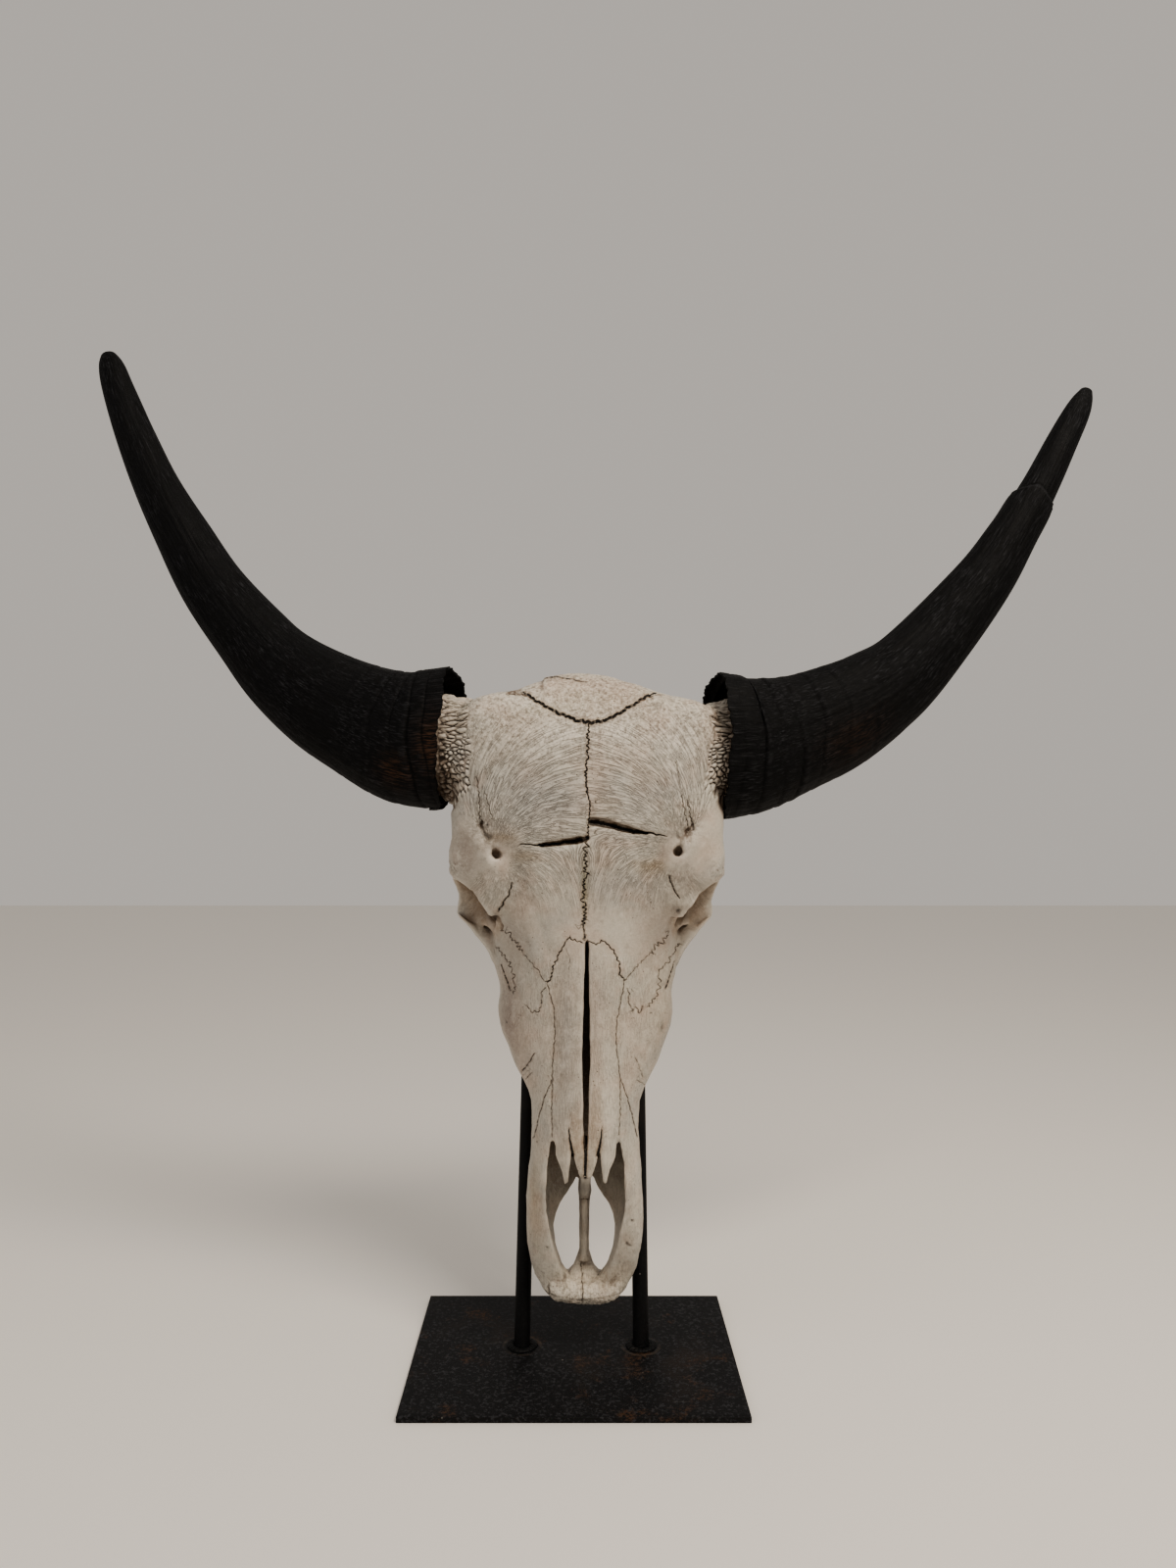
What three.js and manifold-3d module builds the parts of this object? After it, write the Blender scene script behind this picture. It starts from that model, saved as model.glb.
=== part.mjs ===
// A water buffalo's skull with its two black horn sheaths, carried nose down on a steel stand.
// Millimetres, +Z up. The face looks along -Y and the origin is the middle of the base plate's underside.
import * as THREE from "three";
import { mergeVertices } from "three/addons/utils/BufferGeometryUtils.js";
import Module from "manifold-3d";

const wasm = await Module();
wasm.setup();

// Driving dimensions.
const PLATE = { width: 280, depth: 210, thickness: 5 };
const ROD = {
  radius: 7,
  footY: 7,
  lean: THREE.MathUtils.degToRad(14),
  bendRadius: 24,
  prongZ: 478,
  prongLength: 44,
};
const ROD_FOOT_X = { left: -46, right: 59.5 };
const ROD_TOP_X = { left: -38, right: 60.5 };
const SKULL_MIDDLE_X = 8.8; // the skull hangs a little to the right of the plate's middle
const SKULL_ROLL = 0.006; // and leans the same way, in radians
const TOUCH_GAP = 0.3; // what separate pieces that touch keep between them

const BONE = new THREE.MeshStandardMaterial({ color: "#cfc4b4", roughness: 0.75 });
const HORN = new THREE.MeshStandardMaterial({ color: "#17161a", roughness: 0.6 });
const ENAMEL = new THREE.MeshStandardMaterial({ color: "#d8c9a8", roughness: 0.4 });
const STEEL = new THREE.MeshStandardMaterial({ color: "#15161a", roughness: 0.55, metalness: 0.6 });

const v3 = (x, y, z) => new THREE.Vector3(x, y, z);

// A closed skin over rings of points that follow one another along a body.
function skin(rings) {
  const around = rings[0].length;
  const points = rings.flat();
  const middles = [rings[0], rings.at(-1)].map((ring) =>
    ring.reduce((sum, p) => sum.add(p), v3(0, 0, 0)).divideScalar(around),
  );
  const faces = [];
  for (let r = 0; r + 1 < rings.length; r++) {
    for (let i = 0; i < around; i++) {
      const a = r * around + i;
      const b = r * around + ((i + 1) % around);
      faces.push([a, b, b + around], [a, b + around, a + around]);
    }
  }
  const first = points.length;
  const last = first + 1;
  const lastRing = (rings.length - 1) * around;
  for (let i = 0; i < around; i++) {
    const next = (i + 1) % around;
    faces.push([first, next, i], [last, lastRing + i, lastRing + next]);
  }
  points.push(...middles);
  const geometry = new THREE.BufferGeometry().setFromPoints(points);
  geometry.setIndex(faces.flat());
  return facingOut(geometry);
}

// The same geometry with its faces turned round where they point inwards.
function facingOut(geometry) {
  const place = geometry.getAttribute("position");
  const index = geometry.index.array;
  const corner = (i) => new THREE.Vector3().fromBufferAttribute(place, index[i]);
  let volume = 0;
  for (let i = 0; i < index.length; i += 3) {
    volume += corner(i).dot(corner(i + 1).cross(corner(i + 2)));
  }
  if (volume < 0) {
    for (let i = 0; i < index.length; i += 3) {
      [index[i + 1], index[i + 2]] = [index[i + 2], index[i + 1]];
    }
  }
  return geometry;
}

// A geometry as a solid that can be joined and cut.
function solid(geometry) {
  const bare = geometry.clone();
  bare.deleteAttribute("normal");
  bare.deleteAttribute("uv");
  const merged = mergeVertices(bare, 1e-4);
  return new wasm.Manifold(
    new wasm.Mesh({
      numProp: 3,
      vertProperties: merged.getAttribute("position").array,
      triVerts: new Uint32Array(merged.index.array),
    }),
  );
}

// The solid's surface as a geometry.
function surface(body) {
  const mesh = body.getMesh();
  const geometry = new THREE.BufferGeometry();
  geometry.setAttribute("position", new THREE.BufferAttribute(new Float32Array(mesh.vertProperties), 3));
  geometry.setIndex(new THREE.BufferAttribute(new Uint32Array(mesh.triVerts), 1));
  return geometry;
}

const join = (bodies) => bodies.reduce((whole, body) => whole.add(body));
const cut = (whole, bodies) => bodies.reduce((rest, body) => rest.subtract(body), whole);

// The same body on both sides of the skull: the side it was made for, and its mirror image.
const bothSides = (body) => [body, body.mirror([1, 0, 0])];

// Smooth values between rows of [place, value, value ...], at any place.
function between(rows, place) {
  const k = THREE.MathUtils.clamp(
    rows.findIndex((row) => row[0] > place) - 1,
    0,
    rows.length - 2,
  );
  const at = place >= rows.at(-1)[0] ? rows.length - 2 : k;
  const [a, b] = [rows[at], rows[at + 1]];
  const before = rows[Math.max(at - 1, 0)];
  const after = rows[Math.min(at + 2, rows.length - 1)];
  const span = b[0] - a[0];
  const t = (place - a[0]) / span;
  return a.slice(1).map((value, i) => {
    const n = i + 1;
    const slopeA = ((b[n] - before[n]) / (b[0] - before[0])) * span;
    const slopeB = ((after[n] - a[n]) / (after[0] - a[0])) * span;
    return (
      value * (2 * t ** 3 - 3 * t ** 2 + 1) +
      slopeA * (t ** 3 - 2 * t ** 2 + t) +
      b[n] * (3 * t ** 2 - 2 * t ** 3) +
      slopeB * (t ** 3 - t ** 2)
    );
  });
}

// A body that is the same left and right, from sections [z, x, y, x, y ...].
// Each section runs down one side, from the middle of the front to the middle of the back.
function symmetricLoft(sections, stations, around) {
  const rings = stations.map((z) => {
    const row = between(sections, z);
    const half = [];
    for (let i = 0; i < row.length; i += 2) half.push([Math.max(row[i], 0), row[i + 1]]);
    const right = half.map(([x, y]) => v3(x, y, z));
    const left = half.slice(1, -1).reverse().map(([x, y]) => v3(-x, y, z));
    const outline = new THREE.CatmullRomCurve3([...right, ...left], true, "centripetal");
    return Array.from({ length: around }, (_, i) => outline.getPoint(i / around));
  });
  return skin(rings);
}

// Even steps from one place to another, both ends included.
function steps(from, to, count) {
  return Array.from({ length: count + 1 }, (_, i) => from + ((to - from) * i) / count);
}

// A bar through points [x, y, z, half width, half thickness], whose width lies towards one direction.
function bar(points, towards, stationCount, around) {
  const rows = points.map((p, i) => [i, ...p]);
  const middle = (t) => v3(...between(rows, t).slice(0, 3));
  const rings = steps(0, points.length - 1, stationCount).map((t) => {
    const [x, y, z, halfWidth, halfThickness] = between(rows, t);
    const along = middle(Math.min(t + 0.05, points.length - 1)).sub(middle(Math.max(t - 0.05, 0)));
    const thin = along.clone().cross(towards).normalize();
    const wide = thin.clone().cross(along).normalize();
    return Array.from({ length: around }, (_, i) => {
      const angle = (2 * Math.PI * i) / around;
      return v3(x, y, z)
        .addScaledVector(wide, halfWidth * Math.cos(angle))
        .addScaledVector(thin, halfThickness * Math.sin(angle));
    });
  });
  return skin(rings);
}

// A smooth lump with its own three radii, turned so that its last radius lies along a direction.
function lump(centre, radii, along = v3(0, 0, 1), detail = 12) {
  const geometry = new THREE.SphereGeometry(1, detail, Math.round(detail * 0.7));
  const turn = new THREE.Quaternion().setFromUnitVectors(v3(0, 0, 1), along.clone().normalize());
  const place = new THREE.Matrix4().compose(v3(...centre), turn, v3(...radii));
  return geometry.applyMatrix4(place);
}

// A flat outline in the front view, points [x, z], pushed through from one depth to another.
function frontCut(outline, fromY, toY) {
  const shape = new THREE.Shape(outline.map(([x, z]) => new THREE.Vector2(x, z)));
  const geometry = new THREE.ExtrudeGeometry(shape, { depth: toY - fromY, bevelEnabled: false, steps: 1 });
  // The shape's own y becomes z, and the push runs along +Y.
  const place = new THREE.Matrix4().set(1, 0, 0, 0, 0, 0, 1, fromY, 0, 1, 0, 0, 0, 0, 0, 1);
  geometry.applyMatrix4(place);
  return facingOut(mergeVertices(geometry.deleteAttribute("normal").deleteAttribute("uv"), 1e-4));
}

// The outline's other half, so that a shape drawn on one side is the same on both.
const mirrored = (outline) => outline.map(([x, z]) => [-x, z]).reverse();

// The skull bone: one loft from the tip of the upper jaw (z 46) to the poll between the horns (z 600).
// Points of a section: middle of the face, edge of the nose bones, cheek, widest place, the jaw's
// outer edge, and back along the palate or the base of the braincase to the middle of the back.
const BONE_SECTIONS = [
  [46, 0, 3, 5, 3, 9, 3, 12, 4, 14, 5, 15, 7, 14, 9, 12, 11, 9, 12, 6, 12.5, 3, 13, 0, 13],
  [50, 0, -2, 9, -2, 17, -1, 23, 0, 27, 2, 29, 5, 28, 9, 24, 13, 18, 16, 12, 17, 6, 17, 0, 17],
  [60, 0, -8, 12, -8, 23, -6, 32, -3, 38, 1, 40, 6, 39, 11, 34, 16, 27, 19, 16, 20, 8, 20, 0, 20],
  [75, 0, -14, 14, -14, 28, -12, 38, -8, 44.5, -2, 47, 4, 46, 11, 41, 17, 32, 21, 20, 22, 10, 22, 0, 22],
  [100, 0, -24, 15, -24, 30, -22, 42, -17, 49, -9, 51.5, 1, 50, 11, 45, 19, 36, 24, 24, 25, 12, 25, 0, 25],
  [140, 0, -40, 14, -40, 29, -35, 41, -28, 49, -17, 52, -4, 50.5, 9, 46, 19, 37, 26, 25, 28, 12, 28, 0, 28],
  [170, 0, -52, 14, -51, 28, -45, 39, -36, 46, -24, 49, -9, 48.5, 7, 45, 20, 38, 28, 26, 30, 12, 30, 0, 30],
  [200, 0, -52, 14, -51.5, 26, -47, 36, -38, 43, -26, 46.5, -10, 47, 8, 44, 24, 39, 33, 28, 34, 14, 33, 0, 32],
  [232, 0, -49, 14, -49, 27, -45, 38, -36, 45, -24, 48, -8, 48, 10, 46, 28, 41, 38, 30, 37, 15, 35, 0, 34],
  [248, 0, -48, 14, -48, 28, -44.5, 41, -34, 51, -20, 58, -3, 60, 14, 58, 34, 51, 45, 38, 41, 18, 36, 0, 35],
  [265, 0, -47, 15, -47, 30, -43.5, 46, -31, 58, -14, 66, 4, 68, 20, 66, 38, 55, 50, 44, 45, 20, 38, 0, 37],
  [298, 0, -46, 16, -46, 32, -42, 50, -28, 67, -8, 78, 12, 80, 25, 73, 45, 60, 56, 47, 51, 22, 42, 0, 40],
  [322, 0, -46, 17, -46, 33, -41.5, 51, -26, 65, -6, 74, 14, 76, 30, 74, 50, 62, 62, 47, 56, 23, 45, 0, 42],
  [350, 0, -46, 18, -46, 36, -41, 54, -25, 68, -6, 77, 14, 79, 32, 76, 56, 63, 69, 47, 62, 24, 50, 0, 46],
  [375, 0, -46, 20, -46, 41, -41, 60, -29, 76, -12, 84, 10, 84, 32, 77, 60, 63, 76, 47, 69, 24, 54, 0, 51],
  [400, 0, -46, 24, -46, 50, -42, 74, -34, 91, -20, 99, 2, 92, 30, 74, 58, 60, 76, 44, 72, 24, 62, 0, 60],
  [425, 0, -49, 28, -49, 60, -46, 88, -39, 112, -27, 120, -10, 104, 14, 76, 36, 52, 56, 36, 70, 20, 76, 0, 78],
  [445, 0, -51, 29, -51, 61, -48, 90, -42, 112, -31, 119, -17, 104, 4, 72, 26, 52, 52, 38, 71, 22, 80, 0, 82],
  [465, 0, -51, 30, -51, 63, -49, 93, -43, 112, -32, 118, -16, 102, 4, 70, 26, 55, 50, 42, 74, 26, 84, 0, 86],
  [481, 0, -51, 31, -51, 65, -49, 95, -43, 115, -30, 120, -12, 108, 10, 74, 30, 57, 54, 45, 78, 28, 88, 0, 92],
  [500, 0, -50, 32, -50, 66, -48, 93, -42, 109, -27, 115, -8, 106, 16, 78, 38, 60, 60, 48, 80, 30, 92, 0, 96],
  [540, 0, -45, 32, -45, 66, -44, 96, -41, 113, -29, 121, -4, 112, 26, 88, 46, 70, 64, 54, 84, 32, 96, 0, 100],
  [566, 0, -37, 30, -38, 62, -39, 92, -38, 110, -28, 117, -2, 108, 24, 86, 43, 66, 60, 50, 76, 30, 88, 0, 92],
  [577, 0, -29, 26, -30, 52, -33, 76, -34, 94, -26, 99, -2, 92, 22, 74, 40, 58, 54, 44, 68, 25, 79, 0, 83],
  [585, 0, -21, 21, -22, 40, -24, 56, -24, 67, -18, 71, -2, 67, 17, 56, 34, 45, 47, 34, 59, 20, 67, 0, 71],
  [592, 0, -11, 15, -12, 27, -13, 38, -12, 46, -8, 48, 4, 46, 17, 39, 29, 31, 39, 23, 46, 13, 51, 0, 53],
  [600, 0, 6, 6, 6, 12, 7, 16, 8, 19, 11, 20, 16, 19, 22, 16, 28, 13, 32, 9, 34, 5, 35, 0, 35],
];
const BONE_STATIONS = [
  46, 50, 58, 75, 98, 120, 142, 164, 184, 206, 230, 242, 254, 270, 286, 300, 322, 348, 372, 388, 400, 412, 425,
  442, 462, 481, 500, 522, 546, 566, 577, 586, 594, 600,
];
const BONE_AROUND = 28;
const BONE_MIDDLE_Y = 20;
const CLEAR_GROWTH = 1.008; // about 1 mm at the sides
const POLL_TILT = { from: 560, slope: 0.035, height: 40 }; // the poll stands a little higher on its left

// The whole skull bone, or with a growth above 1 the slightly larger body that clears it all round.
function boneLoft(growth = 1) {
  const geometry = symmetricLoft(BONE_SECTIONS, BONE_STATIONS, BONE_AROUND);
  const place = geometry.getAttribute("position");
  for (let i = 0; i < place.count; i++) {
    const share = Math.max(0, (place.getZ(i) - POLL_TILT.from) / POLL_TILT.height);
    place.setZ(i, place.getZ(i) - POLL_TILT.slope * share * place.getX(i));
    place.setX(i, place.getX(i) * growth);
    place.setY(i, BONE_MIDDLE_Y + (place.getY(i) - BONE_MIDDLE_Y) * growth);
  }
  return geometry;
}

// The nose's inside, open to the front below the nose bones and to the back through the palate.
const NOSE_SECTIONS = [
  [66, 0, -60, 5, -60, 9, -50, 11, -20, 11, 0, 9, 8, 5, 11, 0, 12],
  [80, 0, -70, 10, -70, 18, -60, 20, -20, 20, 0, 18, 10, 10, 14, 0, 15],
  [108, 0, -70, 15, -70, 26, -55, 28, -22, 29, 0, 28, 12, 16, 18, 0, 19],
  [140, 0, -70, 18, -68, 31, -45, 34, -28, 38, -4, 36, 12, 20, 21, 0, 22],
  [162, 0, -47, 14, -46, 28, -38, 36, -26, 42, -6, 38, 13, 22, 23, 0, 24],
  [200, 0, -46.5, 13, -46, 26, -41, 36, -27, 41, -6, 39, 15, 22, 26, 0, 26],
  [250, 0, -42.5, 13, -42, 26, -38, 38, -26, 44, -4, 40, 18, 22, 28, 0, 28],
  [330, 0, -40, 14, -39, 28, -33, 40, -18, 46, 2, 42, 24, 24, 35, 0, 36],
  [385, 0, -32, 13, -31, 26, -24, 34, -10, 38, 6, 34, 26, 22, 40, 0, 42],
  [398, 0, -14, 9, -13, 16, -8, 20, 0, 22, 8, 20, 20, 12, 28, 0, 30],
];
const NOSE_STATIONS = [66, 80, 96, 114, 140, 160, 200, 250, 330, 385, 398];

// The front opening of the nose, with the two points that each nose bone ends in.
const NOSE_OPENING_LEFT = [
  [0, 68], [-14, 76], [-20, 84], [-24, 94], [-26.5, 108], [-30, 128], [-33, 142], [-33.5, 158], [-32.5, 180],
  [-28.5, 205], [-26, 201], [-25, 191], [-20, 179], [-17.5, 167], [-14.5, 170], [-13.5, 181], [-13, 198],
  [-14.5, 214], [-12, 205], [-9.5, 190], [-6.5, 179], [-4.8, 174], [-1.6, 173.5], [-0.6, 176],
];
const NOSE_OPENING = [...NOSE_OPENING_LEFT, ...mirrored(NOSE_OPENING_LEFT.slice(1))];

// The gap between the two nose bones, widest at half its length.
const NOSE_GAP_LEFT = [
  [0, 170], [-0.6, 176], [-1.1, 199], [-2.2, 225], [-2.9, 252], [-3.1, 275], [-2.7, 300], [-1.9, 338], [-1.5, 366],
  [-0.7, 384],
];
const NOSE_GAP = [...NOSE_GAP_LEFT, [0, 388], ...mirrored(NOSE_GAP_LEFT.slice(1))];

// The long opening in the palate, on one side of the strip of bone that divides it.
const PALATE_OPENING = [
  [-4.5, 86], [-7, 78], [-9, 72], [-15, 67], [-20, 71], [-24, 79], [-26.5, 93], [-28, 107], [-25.5, 119],
  [-21.5, 127.5], [-17, 133], [-12, 141], [-7, 151], [-5, 150],
];

// Two gaping cracks that run outwards from the seam in the middle of the forehead.
// Each outline goes out along its upper edge and back along its lower one.
const FOREHEAD_CRACKS = [
  [[-4, 459.5], [-20, 457], [-38, 453.5], [-56, 451.6], [-38, 450], [-20, 451.5], [-4, 453.5]],
  [[1, 475.5], [14, 474.5], [28, 470], [44, 465], [62, 461], [42, 461.5], [27, 465], [14, 468.5], [1, 470.5]],
];

// The eye's socket: a cup of bone that opens sideways, a little forward and towards the nose.
// The profiles run from the bottom of the cup to its rim, [radius, height over the rim's plane].
const EYE = { centre: v3(98, 4, 396), looks: v3(0.78, -0.3, -0.545).normalize() };
const EYE_CUP = [[0, -56], [17, -52], [30, -38], [37, -18], [38.5, -5], [36.5, 0.5], [0, 0.5]];
const EYE_HOLLOW = [[0, -49], [13, -46], [25, -33], [31, -16], [32.5, -3], [35, 5], [0, 5]];

// A body turned round an axis that starts at a place and looks in a direction.
function turned(profile, centre, looks, around) {
  const geometry = new THREE.LatheGeometry(profile.map(([r, h]) => new THREE.Vector2(r, h)), around);
  const turn = new THREE.Quaternion().setFromUnitVectors(v3(0, 1, 0), looks);
  const closed = mergeVertices(geometry.deleteAttribute("normal").deleteAttribute("uv"), 1e-4);
  return facingOut(closed.applyMatrix4(new THREE.Matrix4().compose(centre, turn, v3(1, 1, 1))));
}

// The cheek arch, from the outer rim of the eye's cup back to the side of the braincase.
const CHEEK_ARCH = [
  [64, 22, 330, 10, 8],
  [73, 31, 345, 13, 7],
  [85, 36, 358, 14, 6.5],
  [98, 40, 373, 14, 6.5],
  [104, 42, 392, 14, 6],
  [106, 44, 415, 13, 6],
  [105, 53, 443, 12, 6],
  [96, 63, 466, 12, 7],
  [78, 70, 486, 13, 10],
  [56, 70, 498, 14, 11],
];
// The post behind the eye, from the brow's outer corner to the arch.
const EYE_POST = [
  [112, -20, 431, 9, 6],
  [117, -4, 429, 8, 5.5],
  [116, 18, 428, 8, 4.5],
  [111, 42, 430, 9, 4.5],
];

// The pointed process beside the neck's joint, and the thin wing behind the palate.
const NECK_PROCESS = [
  [58, 60, 552, 20, 13],
  [54, 88, 546, 16, 9],
  [50, 110, 538, 10, 6],
  [47, 124, 530, 6, 3.5],
];
const PALATE_WING = [
  [20, 52, 392, 16, 4],
  [22, 78, 404, 18, 3.5],
  [22, 100, 420, 14, 3],
  [20, 117, 428, 7, 2.5],
];
// The thin wall that hangs from the nose bones and stands on the palate's dividing strip.
const SEPTUM = [
  [0, -38, 176, 9, 5.5],
  [0, -20, 160, 10, 5],
  [0, 2, 140, 8, 4],
  [0, 14, 108, 5, 3.8],
  [0, 14, 78, 5, 3.8],
];

// The whole bone with the horns' cores, less its hollows and what the rods and the teeth take up.
function skullSolid(hornCores, clearances) {
  const eyeCup = solid(turned(EYE_CUP, EYE.centre, EYE.looks, 12));
  const eyeHollow = solid(turned(EYE_HOLLOW, EYE.centre, EYE.looks, 13));
  const temple = solid(lump([98, 32, 476], [34, 22, 32], v3(0.1, 0, 1), 12));
  let bone = solid(boneLoft());
  bone = cut(bone, bothSides(temple));

  const arch = solid(bar(CHEEK_ARCH, v3(-0.4, 1, 0), 10, 6));
  const post = solid(bar(EYE_POST, v3(0, 0, 1), 4, 6));
  const templeRoot = solid(lump([60, 72, 502], [27, 24, 19], v3(0, 0, 1), 8));
  const bulla = solid(lump([31, 100, 502], [10, 13, 16], v3(0, 0.3, 1), 6));
  const condyle = solid(lump([25, 93, 554], [17, 21, 22], v3(-0.35, 0.3, 1), 9));
  const neckProcess = solid(bar(NECK_PROCESS, v3(0, 0, 1), 4, 8));
  const wing = solid(bar(PALATE_WING, v3(0, -0.4, 1), 4, 6));
  bone = join([
    bone,
    ...hornCores,
    ...bothSides(eyeCup),
    ...bothSides(arch),
    ...bothSides(post),
    ...bothSides(templeRoot),
    ...bothSides(bulla),
    ...bothSides(condyle),
    ...bothSides(neckProcess),
    ...bothSides(wing),
  ]);

  const neckHole = solid(lump([0, 92, 566], [16, 14, 44], v3(0, 0.75, 1), 10));
  const innerNostrils = solid(lump([0, 78, 412], [14, 50, 26], v3(0, 0, 1), 10));
  const nose = solid(symmetricLoft(NOSE_SECTIONS, NOSE_STATIONS, 14));
  const browHole = solid(lump([77, -44, 452], [4.6, 13, 4.2], v3(0, 0, 1), 8));
  bone = cut(bone, [
    neckHole,
    innerNostrils,
    nose,
    solid(frontCut(NOSE_OPENING, -90, 2)),
    solid(frontCut(NOSE_GAP, -90, -30)),
    ...bothSides(solid(frontCut(PALATE_OPENING, 4, 60))),
    ...bothSides(browHole),
    ...FOREHEAD_CRACKS.map((outline) => solid(frontCut(outline, -70, -43))),
    ...bothSides(eyeHollow),
    ...clearances,
  ]);

  const septum = solid(bar(SEPTUM, v3(0, 1, 0.3), 8, 8));
  return bone.add(septum);
}

// The horns' centre lines, points [x, y, z, radius], from the sheath's mouth to its tip.
const HORN_LINES = {
  left: [
    [-115, 11, 544, 61.5],
    [-134, 14, 543, 61],
    [-163, 19, 545, 58],
    [-203, 26, 560, 50.5],
    [-240, 30, 579, 45.5],
    [-277, 34, 606, 39.5],
    [-306, 37, 637, 34.5],
    [-343, 40, 682, 28.8],
    [-371, 43, 728, 25],
    [-397, 46, 774, 21.2],
    [-418, 49, 820, 17.8],
    [-436, 51, 866, 14.1],
    [-444, 53, 890, 11.2],
    [-448, 54, 903, 5.5],
  ],
  right: [
    [112, 11, 538, 63.5],
    [125, 13, 538, 62.5],
    [147, 18, 540, 59],
    [187, 25, 551, 51.5],
    [223, 29, 565, 47.6],
    [260, 32, 586, 41.8],
    [296, 35, 615, 36],
    [358, 41, 687, 27],
    [389, 44, 733, 22.7],
    [416, 47, 779, 19],
    [439, 49, 825, 15.4],
    [452, 51, 850, 12.8],
    [459, 53, 864, 9.5],
    [464, 54, 875, 4.5],
  ],
};
const SHEATH_WALL = 5;
const CORE_SINK = 8; // how far the bone core lies below the sheath's axis at the mouth
const CORE_ROOT_RADIUS = 40;
const CORE_SHARE = 0.5; // the core ends at this share of its line
const CORE_PLAY = 5; // between the core and the sheath's inside
const HOLLOW_SHARE = 0.56;

// Rings along one horn. At a share t of the line's points, and an angle from the face side (0) over the
// top (a quarter turn), shape gives a point's reach from the line, its slide along it and its sink.
function hornRings(line, shares, around, shape) {
  const middle = new THREE.CatmullRomCurve3(line.map(([x, y, z]) => v3(x, y, z)), false, "centripetal");
  const outward = Math.sign(line[0][0]);
  const rows = line.map((p, i) => [i / (line.length - 1), p[3]]);
  return shares.map((t) => {
    const centre = middle.getPoint(Math.max(t, 0));
    const along = middle.getTangent(Math.max(t, 0));
    const up = v3(0, -1, 0).cross(along).multiplyScalar(outward).normalize();
    const face = up.clone().cross(along).multiplyScalar(outward).normalize();
    if (face.y > 0) face.negate();
    const [radius] = between(rows, t);
    return Array.from({ length: around }, (_, i) => {
      const angle = (2 * Math.PI * i) / around;
      const { reach, slide, sink } = shape(t, angle, radius);
      return centre
        .clone()
        .addScaledVector(face, reach * Math.cos(angle) * (0.95 + 0.05 * t))
        .addScaledVector(up, reach * Math.sin(angle) - sink)
        .addScaledVector(along, slide);
    });
  });
}

// A buffalo's horn is three-cornered at the root, with a flat front and top, and round at the tip.
const cornered = (t, angle) => 1 + 0.08 * Math.max(0, 1 - 1.5 * t) * Math.cos(3 * (angle - Math.PI / 3));

// The horn sheath, ragged at its mouth and hollow from there to a little past the core's end.
function sheathSolid(line) {
  const outside = hornRings(line, [0, 0.015, 0.05, ...steps(0.11, 1, 15)], 15, (t, angle, radius) => {
    const mouth = Math.max(0, 1 - t / 0.03);
    const ragged = 2.2 * Math.sin(5 * angle + 1) + 1.4 * Math.sin(9 * angle);
    return {
      reach: radius * cornered(t, angle),
      slide: mouth * (ragged - 3),
      sink: 0,
    };
  });
  const inside = hornRings(line, [-0.03, ...steps(0, HOLLOW_SHARE, 7)], 12, (t, angle, radius) => {
    const end = Math.sqrt(Math.max(0, 1 - (Math.max(t, 0) / (HOLLOW_SHARE + 0.004)) ** 8));
    return {
      reach: Math.max(0.6, (radius * cornered(t, angle) - SHEATH_WALL) * end),
      slide: t < 0 ? -14 : 0,
      sink: 0,
    };
  });
  return solid(skin(outside)).subtract(solid(skin(inside)));
}

// The bone core that the sheath grew on, rooted in the side of the skull.
function coreSolid(line) {
  const rooted = [[line[0][0] * 0.72, 8, line[0][2] - 2, 60], ...line];
  return solid(
    skin(
      hornRings(rooted, steps(0, CORE_SHARE, 5), 12, (t, angle, radius) => {
        const towardsTip = Math.min(1, t / 0.3);
        const tip = Math.sqrt(Math.max(0, 1 - (t / (CORE_SHARE + 0.004)) ** 6));
        const fit = radius * cornered(t, angle) - SHEATH_WALL - CORE_PLAY;
        return {
          reach: Math.max(0.6, THREE.MathUtils.lerp(CORE_ROOT_RADIUS, fit, towardsTip ** 0.7) * tip),
          slide: 0,
          sink: CORE_SINK * (1 - towardsTip),
        };
      }),
    ),
  );
}

// A round steel bar that leans back behind the skull and turns forward at the top into a prong.
// Its foot ends flat on the plate, and its sections are level rings turned into the bar's direction.
function rodGeometry(footX, topX, radius) {
  const around = 10;
  const { lean, bendRadius, prongZ, prongLength } = ROD;
  const onAxis = (z) => {
    const up = z - PLATE.thickness;
    return v3(footX + ((topX - footX) * up) / (prongZ - PLATE.thickness), ROD.footY + up * Math.tan(lean), z);
  };
  const ring = (middle, side, size) =>
    Array.from({ length: around }, (_, i) => {
      const angle = (2 * Math.PI * (i + 0.5)) / around;
      return middle
        .clone()
        .addScaledVector(v3(1, 0, 0), size * Math.cos(angle))
        .addScaledVector(side, size * Math.sin(angle));
    });
  const side = (turn) => v3(0, Math.cos(lean - turn), -Math.sin(lean - turn));
  const wholeTurn = Math.PI / 2 + lean;
  const bendFrom = onAxis(prongZ - bendRadius * Math.tan(wholeTurn / 2) * Math.cos(lean));
  const bendMiddle = bendFrom.clone().addScaledVector(side(0), -bendRadius);
  const rings = [ring(onAxis(PLATE.thickness), v3(0, 1 / Math.cos(lean), 0), radius), ring(bendFrom, side(0), radius)];
  for (const turn of steps(0, wholeTurn, 5).slice(1)) {
    rings.push(ring(bendMiddle.clone().addScaledVector(side(turn), bendRadius), side(turn), radius));
  }
  const prongFrom = bendMiddle.clone().addScaledVector(side(wholeTurn), bendRadius);
  const bevel = 1.5;
  for (const [reach, size] of [[prongLength - bevel, radius], [prongLength, radius - bevel]]) {
    rings.push(ring(prongFrom.clone().add(v3(0, -reach, 0)), side(wholeTurn), size));
  }
  return skin(rings);
}

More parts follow.
